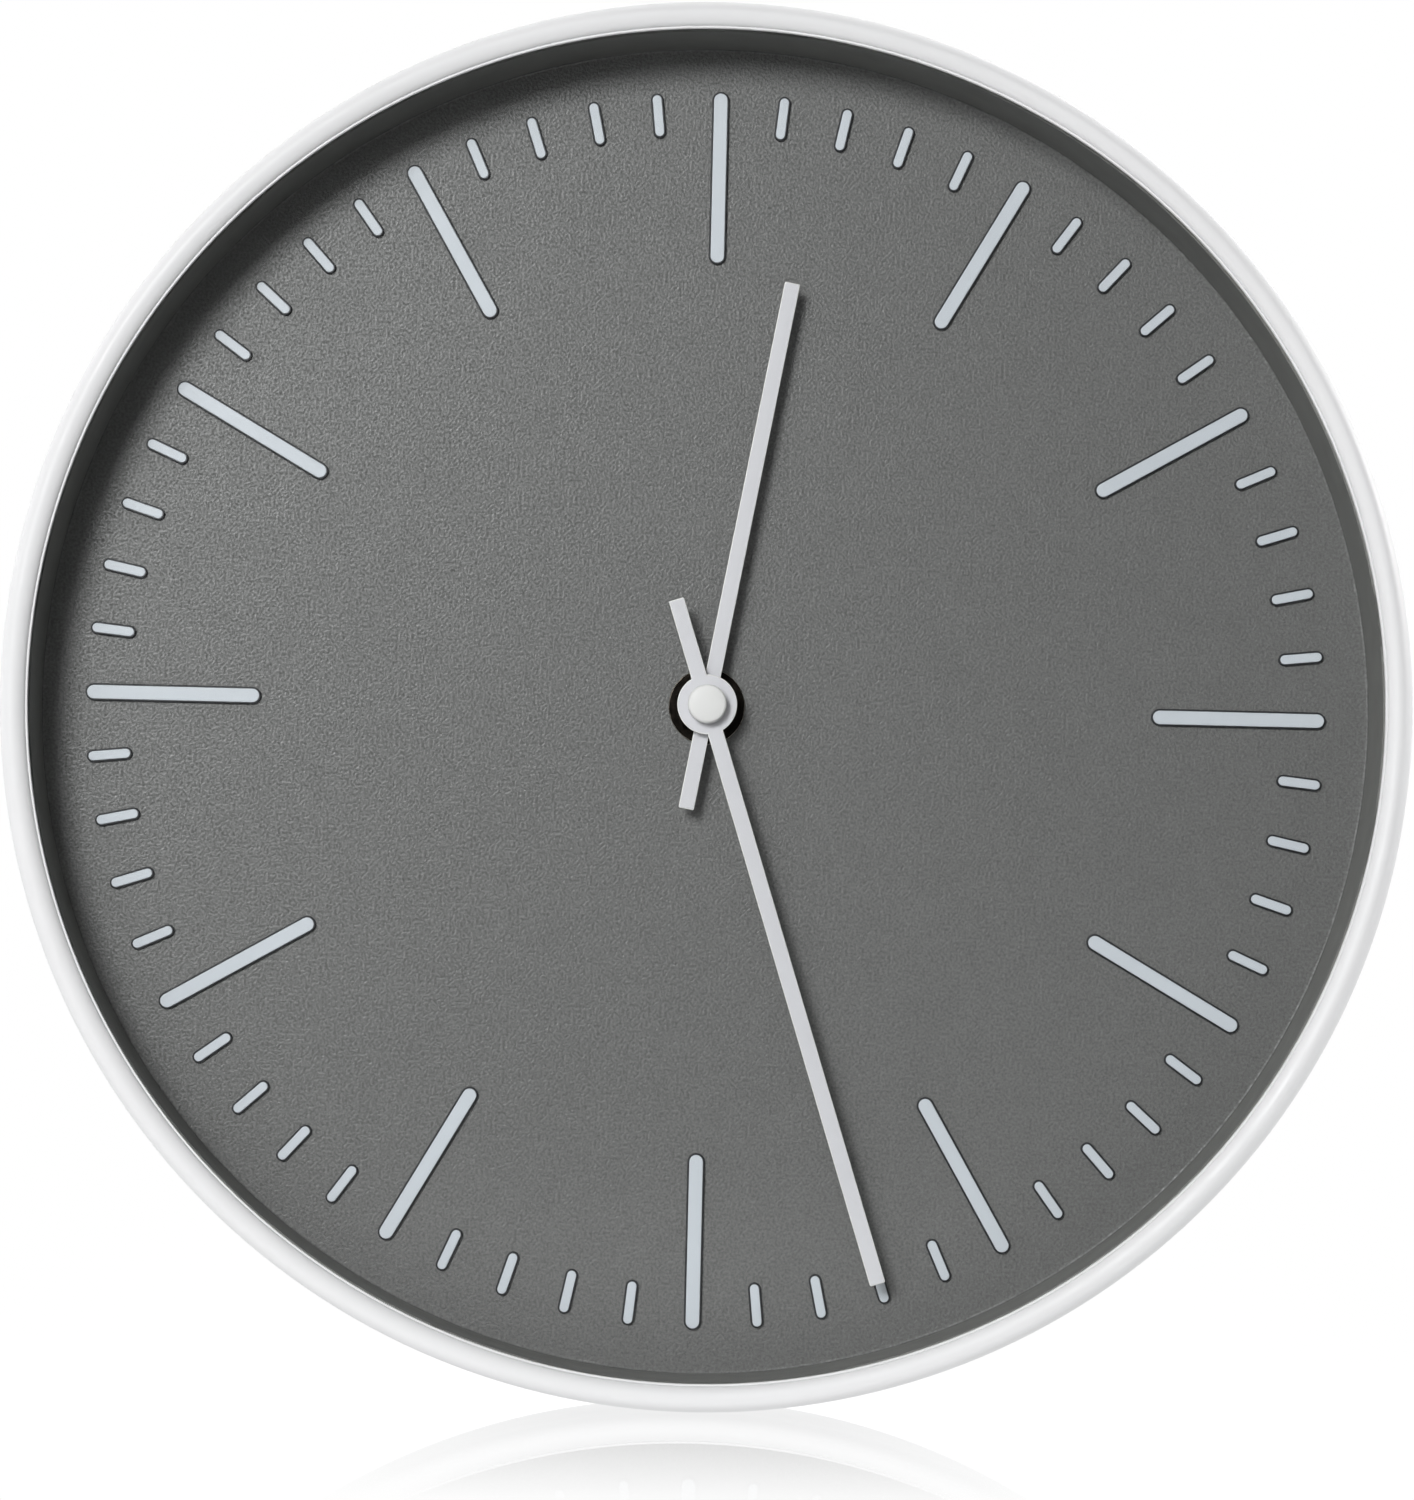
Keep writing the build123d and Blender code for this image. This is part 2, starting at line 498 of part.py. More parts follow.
def movement_cover():
    """The rear shell: a plate with the battery window, the knob's well, blind bosses and snap tongues."""
    plate = slab(RectangleRounded(MOVEMENT_SIDE, MOVEMENT_SIDE, MOVEMENT_CORNER_R), COVER_Y, MOVEMENT_BACK_Y)
    window = BATTERY_WINDOW
    plate -= box(window["x0"], window["x1"], COVER_Y - 1, 0, window["z0"], window["z1"])
    plate += disc(*KNOB_AT, KNOB_WELL_R + KNOB_WELL_WALL, deep(KNOB_WELL_DEPTH), COVER_Y)
    plate -= disc(*KNOB_AT, KNOB_WELL_R, deep(KNOB_WELL_DEPTH + KNOB_WELL_WALL), 0)
    plate -= disc(*KNOB_AT, KNOB_ARBOR_R + RUNNING_GAP, deep(KNOB_WELL_DEPTH - 1), 0)
    for at in (CENTRE, THIRD_AT, FIFTH_AT, ROTOR_AT):
        plate += arbor(at, BOSS_R, COVER_DEPTH - BOSS_HEIGHT, COVER_DEPTH)
        plate -= arbor(at, PIVOT_R + RUNNING_GAP, COVER_DEPTH - BOSS_HEIGHT - 1, PIVOT_END + 0.2)
    tongue_front = deep(TONGUE_FRONT)
    for x0 in (-INNER_HALF, INNER_HALF - TONGUE_THICKNESS):
        plate += box(x0, x0 + TONGUE_THICKNESS, tongue_front, COVER_Y, *SIDE_TONGUE_Z)
    for x in TOP_TONGUE_X:
        z_span = (INNER_HALF - TOP_TONGUE_THICKNESS, INNER_HALF)
        plate += box(x - TOP_TONGUE_HALF, x + TOP_TONGUE_HALF, tongue_front, COVER_Y, *z_span)
    return plate


def train_bridge():
    """The middle plate that carries the front pivots of the fifth wheel and the rotor."""
    outline = Pos(0, BRIDGE_MIDDLE_Z) * RectangleRounded(*BRIDGE_SIZE, BRIDGE_CORNER_R)
    outline -= Pos(*THIRD_AT) * Circle(ARBOR_R + BRIDGE_HOLE_GAP)
    outline -= Pos(*KNOB_AT) * Circle(KNOB_ARBOR_R + BRIDGE_HOLE_GAP)
    outline -= Circle(ARBOR_R + RUNNING_GAP)
    outline -= [Pos(*at) * Circle(PIVOT_R + RUNNING_GAP) for at in (FIFTH_AT, ROTOR_AT)]
    outline -= [Pos(*at) * Circle(BRIDGE_SCREW["shank_r"]) for at in BRIDGE_POSTS]
    return slab(outline, deep(BRIDGE_LAYER[0]), deep(BRIDGE_LAYER[1]))


def bridge_screws():
    return [pan_screw(x, z, deep(BRIDGE_LAYER[1]), **BRIDGE_SCREW) for x, z in BRIDGE_POSTS]


def hour_wheel():
    wheel = gear_slab(HOUR_WHEEL, CENTRE, HOUR_WHEEL_PHASE, HOUR_LAYER)
    wheel += disc(0, 0, HOUR_PIPE_R, above_dial(HOUR_PIPE_TOP), deep(HOUR_LAYER[1]))
    return wheel - disc(0, 0, HOUR_PIPE_BORE_R, above_dial(HOUR_PIPE_TOP + 1), deep(HOUR_LAYER[1] + 1))


def minute_wheel():
    wheel = gear_slab(MINUTE_WHEEL, MINUTE_WHEEL_AT, MINUTE_WHEEL_PHASE, MINUTE_WHEEL_LAYER)
    wheel += gear_slab(MINUTE_PINION, MINUTE_WHEEL_AT, MINUTE_PINION_PHASE, MINUTE_PINION_LAYER)
    return wheel - arbor(MINUTE_WHEEL_AT, MINUTE_STUD_R + RUNNING_GAP, 0, MINUTE_WHEEL_LAYER[1] + 1)


def minute_pipe():
    """The cannon pinion and its pipe, which carries the minute hand."""
    pipe = disc(0, 0, MINUTE_PIPE_R, above_dial(MINUTE_PIPE_TOP), deep(CENTRE_LAYER[1]))
    pipe += gear_slab(CANNON, CENTRE, CANNON_PHASE, (CANNON_LAYER[0], CENTRE_LAYER[0]))
    bore_back = deep(CENTRE_LAYER[1] + 1)
    return pipe - disc(0, 0, MINUTE_PIPE_BORE_R, above_dial(MINUTE_PIPE_TOP + 1), bore_back)


def centre_wheel():
    wheel = gear_slab(CENTRE_WHEEL, CENTRE, CENTRE_WHEEL_PHASE, CENTRE_LAYER)
    return wheel - arbor(CENTRE, MINUTE_PIPE_R, CENTRE_LAYER[0] - 1, CENTRE_LAYER[1] + 1)


def third_wheel():
    wheel = gear_slab(THIRD_WHEEL, THIRD_AT, THIRD_WHEEL_PHASE, THIRD_LAYER)
    wheel += gear_slab(THIRD_PINION, THIRD_AT, THIRD_PINION_PHASE, THIRD_PINION_LAYER)
    wheel += arbor(THIRD_AT, ARBOR_R, THIRD_ARBOR_FRONT, ARBOR_END)
    return wheel + arbor(THIRD_AT, PIVOT_R, THIRD_PIVOT_END, PIVOT_END)


def seconds_wheel():
    """The seconds wheel: its long arbor turns inside the minute pipe and carries no hand on this clock."""
    wheel = gear_slab(SECONDS_WHEEL, CENTRE, SECONDS_WHEEL_PHASE, SECONDS_LAYER)
    wheel += gear_slab(SECONDS_PINION, CENTRE, SECONDS_PINION_PHASE, SECONDS_PINION_LAYER)
    wheel += disc(0, 0, ARBOR_R, above_dial(MINUTE_PIPE_TOP - 0.6), deep(ARBOR_END))
    return wheel + arbor(CENTRE, PIVOT_R, ARBOR_END, PIVOT_END)


def fifth_wheel():
    wheel = gear_slab(FIFTH_WHEEL, FIFTH_AT, FIFTH_WHEEL_PHASE, FIFTH_LAYER)
    wheel += gear_slab(FIFTH_PINION, FIFTH_AT, FIFTH_PINION_PHASE, FIFTH_PINION_LAYER)
    wheel += arbor(FIFTH_AT, ARBOR_R, ABOVE_BRIDGE, ARBOR_END)
    return wheel + arbor(FIFTH_AT, PIVOT_R, FRONT_PIVOT_END, PIVOT_END)


def rotor_pinion():
    pinion = gear_slab(ROTOR_PINION, ROTOR_AT, ROTOR_PINION_PHASE, ROTOR_PINION_LAYER)
    pinion += arbor(ROTOR_AT, ARBOR_R, ABOVE_BRIDGE, ARBOR_END)
    return pinion + arbor(ROTOR_AT, PIVOT_R, FRONT_PIVOT_END, PIVOT_END)


def rotor_magnet():
    hole = arbor(ROTOR_AT, ARBOR_R, MAGNET_LAYER[0] - 1, MAGNET_LAYER[1] + 1)
    return arbor(ROTOR_AT, MAGNET_R, *MAGNET_LAYER) - hole


def stator():
    """The two-pole iron plate round the rotor, with a leg up to each end of the coil."""
    low, high = ROTOR_AT[1] - STATOR_HALF, ROTOR_AT[1] + STATOR_HALF
    outline = Pos((STATOR_X0 + STATOR_X1) / 2, (low + high) / 2) * Rectangle(STATOR_X1 - STATOR_X0, high - low)
    leg_top = COIL_Z + COIL_LEG_OVERLAP
    for x in (STATOR_X0 + STATOR_LEG_W / 2, STATOR_X1 - STATOR_LEG_W / 2):
        outline += Pos(x, (high + leg_top) / 2) * Rectangle(STATOR_LEG_W, leg_top - high)
    outline -= Pos(*ROTOR_AT) * Circle(MAGNET_R + MAGNET_GAP)
    return slab(outline, deep(STATOR_LAYER[0]), deep(STATOR_LAYER[1]))


def coil_core():
    depths = (deep(CORE_LAYER[0]), deep(CORE_LAYER[1]))
    return box(STATOR_X0, STATOR_X1, *depths, COIL_Z - CORE_HALF, COIL_Z + CORE_HALF)


CORE_Y = deep((CORE_LAYER[0] + CORE_LAYER[1]) / 2)


def coil_bobbin():
    bobbin = along_x(BOBBIN_TUBE_R, COIL_X0, COIL_X1, CORE_Y, COIL_Z)
    for x in (COIL_X0, COIL_X1 - BOBBIN_FLANGE):
        bobbin += along_x(BOBBIN_FLANGE_R, x, x + BOBBIN_FLANGE, CORE_Y, COIL_Z)
    return bobbin - coil_core()


def coil_winding():
    winding = along_x(WINDING_R, COIL_X0 + BOBBIN_FLANGE, COIL_X1 - BOBBIN_FLANGE, CORE_Y, COIL_Z)
    return winding - along_x(BOBBIN_TUBE_R, COIL_X0, COIL_X1, CORE_Y, COIL_Z)


def circuit_board():
    return box(BOARD["x0"], BOARD["x1"], deep(BOARD_LAYER[0]), deep(BOARD_LAYER[1]), BOARD["z0"], BOARD["z1"])


def quartz_crystal():
    """The tuning-fork crystal in its metal can, lying on the board."""
    radius = CRYSTAL["r"]
    return along_x(radius, CRYSTAL["x0"], CRYSTAL["x1"], deep(BOARD_LAYER[0]) - radius, CRYSTAL["z"])


def timer_chip():
    """The driver chip under its blob of resin."""
    seat = BOARD_LAYER[0]
    blob = arbor((CHIP["x"], CHIP["z"]), CHIP["r"], seat - CHIP["height"], seat)
    return fillet(blob.edges().group_by(Axis.Y)[0], CHIP["round"])


def contact_positive():
    """A flat strip on the bay's right wall."""
    x1 = INNER_HALF
    return box(x1 - STRIP_THICKNESS, x1, FLOOR_Y, COVER_Y - STRIP_BACK_GAP, STRIP_END_Z, BAY_WALL_Z)


def contact_negative():
    """A leaf spring bent out of a strip on the bay's left wall."""
    back_x = -INNER_HALF + 0.2
    fold = (back_x + 1.4, LEAF_BACK_Y - 3.8)
    tip = (back_x + 0.7, LEAF_FRONT_Y + 2.6)
    path = Polyline((back_x, LEAF_FRONT_Y), (back_x, LEAF_BACK_Y), fold, tip)
    leaf = extrude(trace(path, LEAF_THICKNESS), amount=LEAF_HEIGHT)
    return Pos(0, 0, BATTERY_Z - LEAF_HEIGHT / 2) * leaf


def battery():
    y = FLOOR_Y + BATTERY_FLOOR_GAP + BATTERY_R
    x1 = BATTERY_X0 + BATTERY_LENGTH
    can = along_x(BATTERY_R, BATTERY_X0, x1, y, BATTERY_Z)
    can = fillet(can.edges(), BATTERY_EDGE)
    return can + along_x(BATTERY_NUB_R, x1, x1 + BATTERY_NUB, y, BATTERY_Z)


def setting_knob():
    """The knurled knob in its well, its arbor and the pinion that turns the minute wheel."""
    grip = Circle(KNOB_R)
    for i in range(KNOB_FLUTES):
        grip -= Pos(*polar(KNOB_R + FLUTE_OFFSET, 360 / KNOB_FLUTES * i)) * Circle(FLUTE_R)
    knob = slab(Pos(*KNOB_AT) * grip, deep(KNOB_WELL_DEPTH + KNOB_FRONT_GAP), MOVEMENT_BACK_Y + KNOB_PROUD)
    knob += arbor(KNOB_AT, KNOB_ARBOR_R, KNOB_ARBOR_FRONT, KNOB_WELL_DEPTH + KNOB_FRONT_GAP)
    return knob + gear_slab(KNOB_GEAR, KNOB_AT, KNOB_PHASE, CANNON_LAYER)


# ---- every piece by its name -------------------------------------------------------------------------
def all_pieces():
    washer_front = DIAL_Y - WASHER_THICKNESS
    return {
        "frame_ring": frame_ring(),
        "lens": lens(),
        "dial_tray": dial_tray(),
        "hour_markers": markers(HOUR_MARK, HOUR_ANGLES),
        "minute_markers": markers(MINUTE_MARK, MINUTE_ANGLES),
        "hanger_plate": hanger_plate(),
        "hanger_screws": hanger_screws(),
        "rubber_washer": ring(RUBBER_R, BUSHING_R, DIAL_BACK_Y, FLOOR_OUTER_Y),
        "dial_washer": ring(WASHER_R, BUSHING_R + BUSHING_HOLE_GAP, washer_front, DIAL_Y),
        "hex_nut": hex_nut(),
        "hour_hand": hand(HOUR_HAND, HOUR_ANGLE),
        "hour_hand_bush": hand_bush(HOUR_HAND, HOUR_PIPE_R),
        "minute_hand": hand(MINUTE_HAND, MINUTE_ANGLE),
        "minute_hand_bush": hand_bush(MINUTE_HAND, MINUTE_PIPE_R),
        "centre_cap": centre_cap(),
        "movement_base": movement_base(),
        "movement_cover": movement_cover(),
        "train_bridge": train_bridge(),
        "bridge_screws": bridge_screws(),
        "hour_wheel": hour_wheel(),
        "minute_wheel": minute_wheel(),
        "minute_pipe": minute_pipe(),
        "centre_wheel": centre_wheel(),
        "third_wheel": third_wheel(),
        "seconds_wheel": seconds_wheel(),
        "fifth_wheel": fifth_wheel(),
        "rotor_pinion": rotor_pinion(),
        "rotor_magnet": rotor_magnet(),
        "stator": stator(),
        "coil_core": coil_core(),
        "coil_bobbin": coil_bobbin(),
        "coil_winding": coil_winding(),
        "circuit_board": circuit_board(),
        "quartz_crystal": quartz_crystal(),
        "timer_chip": timer_chip(),
        "contact_positive": contact_positive(),
        "contact_negative": contact_negative(),
        "battery": battery(),
        "setting_knob": setting_knob(),
    }


def write_pieces():
    os.makedirs("parts", exist_ok=True)
    down = Pos(0, 0, -HANGER_RISE)
    for name, shape in all_pieces().items():
        solids = shape if isinstance(shape, list) else [shape]
        placed = [down * one for one in solids]
        export_step(Compound(children=placed) if len(placed) > 1 else placed[0], f"parts/{name}.step")


write_pieces()
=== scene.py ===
"""A round wall clock: the looks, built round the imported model."""
import math

import bmesh
import bpy
from mathutils import Matrix, Quaternion, Vector


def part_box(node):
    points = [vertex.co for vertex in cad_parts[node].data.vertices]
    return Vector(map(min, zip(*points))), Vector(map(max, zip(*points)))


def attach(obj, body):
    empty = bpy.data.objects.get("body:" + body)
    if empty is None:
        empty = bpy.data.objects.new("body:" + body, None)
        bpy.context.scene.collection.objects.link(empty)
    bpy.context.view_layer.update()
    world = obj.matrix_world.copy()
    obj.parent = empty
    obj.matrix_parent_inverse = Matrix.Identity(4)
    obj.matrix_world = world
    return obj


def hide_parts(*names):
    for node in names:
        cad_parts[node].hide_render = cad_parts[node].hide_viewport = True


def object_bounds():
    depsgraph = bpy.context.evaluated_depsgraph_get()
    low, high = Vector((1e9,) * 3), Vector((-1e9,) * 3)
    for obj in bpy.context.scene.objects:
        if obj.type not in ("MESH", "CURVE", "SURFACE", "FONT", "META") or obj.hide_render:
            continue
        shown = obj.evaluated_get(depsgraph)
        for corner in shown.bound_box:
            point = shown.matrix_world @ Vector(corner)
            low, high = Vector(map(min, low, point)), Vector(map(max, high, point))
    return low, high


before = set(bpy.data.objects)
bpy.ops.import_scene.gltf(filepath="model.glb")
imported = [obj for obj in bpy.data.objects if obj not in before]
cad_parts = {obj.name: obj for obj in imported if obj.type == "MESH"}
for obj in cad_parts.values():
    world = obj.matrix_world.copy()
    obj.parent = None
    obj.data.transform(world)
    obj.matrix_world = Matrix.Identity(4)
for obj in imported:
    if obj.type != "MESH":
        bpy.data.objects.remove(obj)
cad_low, cad_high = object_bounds()

MM = 0.001
FULL = 2 * math.pi

# ---- places and sizes read from the frame, in mm about the hand axis -----------------------------
lens_low, lens_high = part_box("lens")
AXIS_Z = (lens_low.z + lens_high.z) / 2


def depth(node):
    """Front and back Y of a CAD node, in mm."""
    low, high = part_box(node)
    return low.y / MM, high.y / MM


def reach(node, front_share=1.0):
    """Smallest and largest distance from the hand axis of a node's corners, in mm.

    With front_share, only of the corners in that front share of its depth."""
    front, back = depth(node)
    limit = front + (back - front) * front_share + 1e-3
    points = [v.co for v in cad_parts[node].data.vertices if v.co.y / MM <= limit]
    away = [math.hypot(p.x, p.z - AXIS_Z) / MM for p in points]
    return min(away), max(away)


def pointing(node):
    """The angle of a hand, in radians clockwise from 12: where its furthest corners are."""
    points = [(v.co.x, v.co.z - AXIS_Z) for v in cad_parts[node].data.vertices]
    far = max(math.hypot(*p) for p in points)
    tips = [p for p in points if math.hypot(*p) > far * 0.999]
    return math.atan2(sum(p[0] for p in tips), sum(p[1] for p in tips))


RIM_R = reach("frame_ring")[1]
LIP_R = reach("frame_ring", 0.05)[0]
RIM_FRONT, WALL_Y = depth("frame_ring")
LENS_R = reach("lens")[1]
LENS_FRONT, LENS_BACK = depth("lens")
TRAY_R = reach("dial_tray")[1]
DIAL_Y = depth("dial_washer")[1]
DIAL_BACK = depth("rubber_washer")[0]
INLAY_FRONT, PAD_FRONT = depth("hour_markers")

# ---- sizes of the details that only the looks need, in mm ----------------------------------------
RIM_BORE_R = LENS_R + 0.2
RIM_BACK_R = RIM_R - 1.3
LEDGE = 0.45
BEAD_X = RIM_R - 3.0
BEAD_BACK = RIM_FRONT + 5.5
DIP_Y = LENS_FRONT - 0.7
WALL_THICK = 2.0
TURNS = 240  # steps round the large rings
SHARP = 32  # edges bent by more degrees than this stay sharp


# ---- outlines ------------------------------------------------------------------------------------
def arc(cx, cy, rx, ry, start, end, steps):
    """Points of an elliptical arc. Angles in degrees."""
    angles = [math.radians(start + (end - start) * i / steps) for i in range(steps + 1)]
    return [(cx + rx * math.cos(a), cy + ry * math.sin(a)) for a in angles]


def rounded(corners, steps=4):
    """A closed outline whose corners (x, y, radius) are rounded."""
    points = []
    count = len(corners)
    for i, (x, y, radius) in enumerate(corners):
        here = Vector((x, y))
        if radius <= 0:
            points.append((x, y))
            continue
        before = (Vector(corners[i - 1][:2]) - here).normalized()
        after = (Vector(corners[(i + 1) % count][:2]) - here).normalized()
        half = before.angle(after) / 2
        centre = here + (before + after).normalized() * (radius / math.sin(half))
        start = here + before * (radius / math.tan(half)) - centre
        turn = start.angle_signed(here + after * (radius / math.tan(half)) - centre)
        for k in range(steps + 1):
            spot = centre + Matrix.Rotation(-turn * k / steps, 2) @ start
            points.append((spot.x, spot.y))
    return points


def box_outline(x0, x1, z0, z1, radius):
    return rounded([(x0, z0, radius), (x1, z0, radius), (x1, z1, radius), (x0, z1, radius)])


def circle(radius, steps):
    return arc(0, 0, radius, radius, 0, 360 * (1 - 1 / steps), steps - 1)


def stadium(length, width):
    """A round-ended bar along Z, centred on 0."""
    half, radius = (length - width) / 2, width / 2
    return arc(0, half, radius, radius, 0, 180, 8) + arc(0, -half, radius, radius, 180, 360, 8)


# ---- mesh building -------------------------------------------------------------------------------
class Builder:
    """Collects closed shells, in mm about the hand axis, into one mesh."""

    def __init__(self):
        self.points, self.faces, self.slots, self.matrix = [], [], [], Matrix.Identity(4)

    def add(self, points, faces, slot=0):
        base = len(self.points)
        self.points += [self.matrix @ Vector(p) for p in points]
        self.faces += [[base + i for i in f] for f in faces]
        self.slots += [slot] * len(faces) if isinstance(slot, int) else slot

    def turned(self, angle):
        """What follows is turned clockwise about the hand axis by this angle, in radians."""
        self.matrix = Matrix.Rotation(angle, 4, "Y")
        return self

    def lathe(self, profile, steps=TURNS, slots=None, cx=0.0, cz=0.0, along="Y", arc_angle=FULL):
        """Revolves a closed (radius, depth) profile about an axis along Y, or along X, through (cx, cz)."""
        whole = abs(arc_angle - FULL) < 1e-6
        rings = steps if whole else steps + 1
        count = len(profile)
        points, faces, face_slots = [], [], []
        for i in range(rings):
            a = arc_angle * i / steps
            for r, d in profile:
                u, v = r * math.cos(a), r * math.sin(a)
                points.append((cx + u, d, cz + v) if along == "Y" else (d, cx + u, cz + v))
        for i in range(steps):
            j = (i + 1) % rings
            for k in range(count):
                n = (k + 1) % count
                if profile[k][0] < 1e-6 and profile[n][0] < 1e-6:
                    continue
                faces.append([i * count + k, i * count + n, j * count + n, j * count + k])
                face_slots.append(slots[k] if slots else 0)
        if not whole:
            faces += [list(range(count)), [steps * count + k for k in range(count)]]
            face_slots += [0, 0]
        self.add(points, faces, face_slots)

    def stack(self, layers, slot=0):
        """Closes a shell over layers (outline, y), all with as many points."""
        count = len(layers[0][0])
        points = [(x, y, z) for outline, y in layers for x, z in outline]
        faces = []
        for i in range(len(layers) - 1):
            for k in range(count):
                n = (k + 1) % count
                faces.append([i * count + k, i * count + n, (i + 1) * count + n, (i + 1) * count + k])
        faces.append(list(range(count)))
        faces.append([(len(layers) - 1) * count + k for k in range(count)])
        self.add(points, faces, slot)

    def bar(self, length, width, back, front, edge, radius, slot=0):
        """A round-ended bar out at a radius on the dial, its front edge rounded."""
        layers = [(length, width, back)]
        for i in range(5):
            a = math.pi / 2 * i / 4
            shrink = 2 * edge * (1 - math.cos(a))
            layers.append((length - shrink, width - shrink, front + edge * (1 - math.sin(a))))
        placed = [([(x, z + radius) for x, z in stadium(a, b)], y) for a, b, y in layers]
        self.stack(placed, slot)

    def mesh(self, name):
        mesh = bpy.data.meshes.new(name)
        offset = Vector((0, 0, AXIS_Z))
        mesh.from_pydata([p * MM + offset for p in self.points], [], self.faces)
        return mesh

    def object(self, name, materials, body, stands_for, sharp=SHARP):
        mesh = self.mesh(name)
        for material in materials:
            mesh.materials.append(material)
        mesh.polygons.foreach_set("material_index", self.slots)
        clean(mesh, sharp)
        return place(name, mesh, body, stands_for)


def place(name, mesh, body, stands_for):
    """Puts a mesh in the scene on its body. Flat faces are shaded flat up to their rounded edges."""
    obj = bpy.data.objects.new(name, mesh)
    bpy.context.scene.collection.objects.link(obj)
    flat = obj.modifiers.new("flat_faces", "WEIGHTED_NORMAL")
    flat.keep_sharp = True
    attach(obj, body)
    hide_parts(*stands_for)
    return obj


def clean(mesh, sharp):
    """Merges doubled points, turns all faces outwards and shades smooth except over sharp edges."""
    work = bmesh.new()
    work.from_mesh(mesh)
    bmesh.ops.remove_doubles(work, verts=work.verts, dist=1e-7)
    bmesh.ops.dissolve_degenerate(work, dist=1e-8, edges=work.edges)
    bmesh.ops.recalc_face_normals(work, faces=work.faces)
    work.to_mesh(mesh)
    work.free()
    mesh.polygons.foreach_set("use_smooth", [True] * len(mesh.polygons))
    mesh.set_sharp_from_angle(angle=math.radians(sharp))


def plate(name, loops, front, back, edge, materials, body, stands_for, turn):
    """A flat piece, in mm, with holes: the first loop is its outline.

    Its edges are rounded by edge and have the last material."""
    curve = bpy.data.curves.new(name, "CURVE")
    curve.dimensions, curve.fill_mode = "2D", "BOTH"
    curve.extrude = ((back - front) / 2 - edge) * MM
    curve.bevel_depth, curve.bevel_resolution, curve.offset = edge * MM, 2, -edge * MM
    for loop in loops:
        spline = curve.splines.new("POLY")
        spline.points.add(len(loop) - 1)
        spline.use_cyclic_u = True
        for point, (x, z) in zip(spline.points, loop):
            point.co = (x * MM, z * MM, 0, 1)
    holder = bpy.data.objects.new(name + "_curve", curve)
    bpy.context.scene.collection.objects.link(holder)
    bpy.context.view_layer.update()
    mesh = bpy.data.meshes.new_from_object(holder.evaluated_get(bpy.context.evaluated_depsgraph_get()))
    bpy.data.objects.remove(holder)
    bpy.data.curves.remove(curve)
    mesh.name = name
    middle = Matrix.Translation((0, (front + back) / 2 * MM, AXIS_Z))
    mesh.transform(middle @ Matrix.Rotation(turn, 4, "Y") @ Matrix.Rotation(math.pi / 2, 4, "X"))
    mesh.materials.clear()
    for material in materials:
        mesh.materials.append(material)
    # the edge faces take the last material; on the hands that is the lighter painted highlight
    for face in mesh.polygons:
        on_edge = abs(face.normal.y) < 0.97
        face.material_index = len(materials) - 1 if on_edge else 0
    clean(mesh, SHARP)
    return place(name, mesh, body, stands_for)


# ---- materials -----------------------------------------------------------------------------------
class Finish:
    """A Principled material and the nodes that vary it, in the piece's own coordinates (metres)."""

    def __init__(self, name, **sockets):
        self.material = bpy.data.materials.new(name)
        self.material.use_nodes = True
        self.tree = self.material.node_tree
        self.shader = self.tree.nodes["Principled BSDF"]
        for key, value in sockets.items():
            self.shader.inputs[key.replace("_", " ")].default_value = value
        self.coordinates = self.tree.nodes.new("ShaderNodeTexCoord").outputs["Object"]
        self.normal = None

    def node(self, kind, links=(), **values):
        made = self.tree.nodes.new(kind)
        for key, value in values.items():
            if key in made.inputs:
                made.inputs[key].default_value = value
            else:
                setattr(made, key, value)
        for socket, source in links:
            self.tree.links.new(source, made.inputs[socket])
        return made

    def noise(self, scale, detail=2.0, roughness=0.5):
        links = [("Vector", self.coordinates)]
        made = self.node("ShaderNodeTexNoise", links, Scale=scale, Detail=detail, Roughness=roughness)
        return made.outputs["Fac"]

    def cell_edges(self, scale):
        links = [("Vector", self.coordinates)]
        made = self.node("ShaderNodeTexVoronoi", links, feature="DISTANCE_TO_EDGE", Scale=scale)
        return made.outputs["Distance"]

    def spread(self, source, low, high, to_low, to_high):
        links = [("Value", source)]
        made = self.node("ShaderNodeMapRange", links)
        for socket, value in zip(("From Min", "From Max", "To Min", "To Max"), (low, high, to_low, to_high)):
            made.inputs[socket].default_value = value
        return made.outputs["Result"]

    def colours(self, source, stops):
        ramp = self.node("ShaderNodeValToRGB", [("Fac", source)])
        elements = ramp.color_ramp.elements
        while len(elements) < len(stops):
            elements.new(0.5)
        for element, (position, colour) in zip(elements, stops):
            element.position, element.color = position, (*colour, 1)
        return ramp.outputs["Color"]

    def set(self, socket, source):
        self.tree.links.new(source, self.shader.inputs[socket])
        return self

    def bump(self, height, strength, distance):
        links = [("Height", height)] + ([("Normal", self.normal)] if self.normal else [])
        made = self.node("ShaderNodeBump", links, Strength=strength, Distance=distance)
        self.normal = made.outputs["Normal"]
        self.tree.links.new(self.normal, self.shader.inputs["Normal"])
        return self


def shade(colour, factor):
    return tuple(min(1.0, c * factor) for c in colour)


def moulded(name, colour, rough, grain_scale, grain_depth, spread=0.04, **sockets):
    """Moulded plastic: a slow drift of shade, uneven gloss and a fine surface grain."""
    f = Finish(name, **sockets)
    shades = [(0.3, shade(colour, 1 - spread)), (0.7, shade(colour, 1 + spread))]
    f.set("Base Color", f.colours(f.noise(18, 3), shades))
    f.set("Roughness", f.spread(f.noise(140, 3), 0.3, 0.7, rough - 0.06, rough + 0.06))
    f.bump(f.noise(grain_scale, 3, 0.6), 0.35, grain_depth * MM)
    return f.material


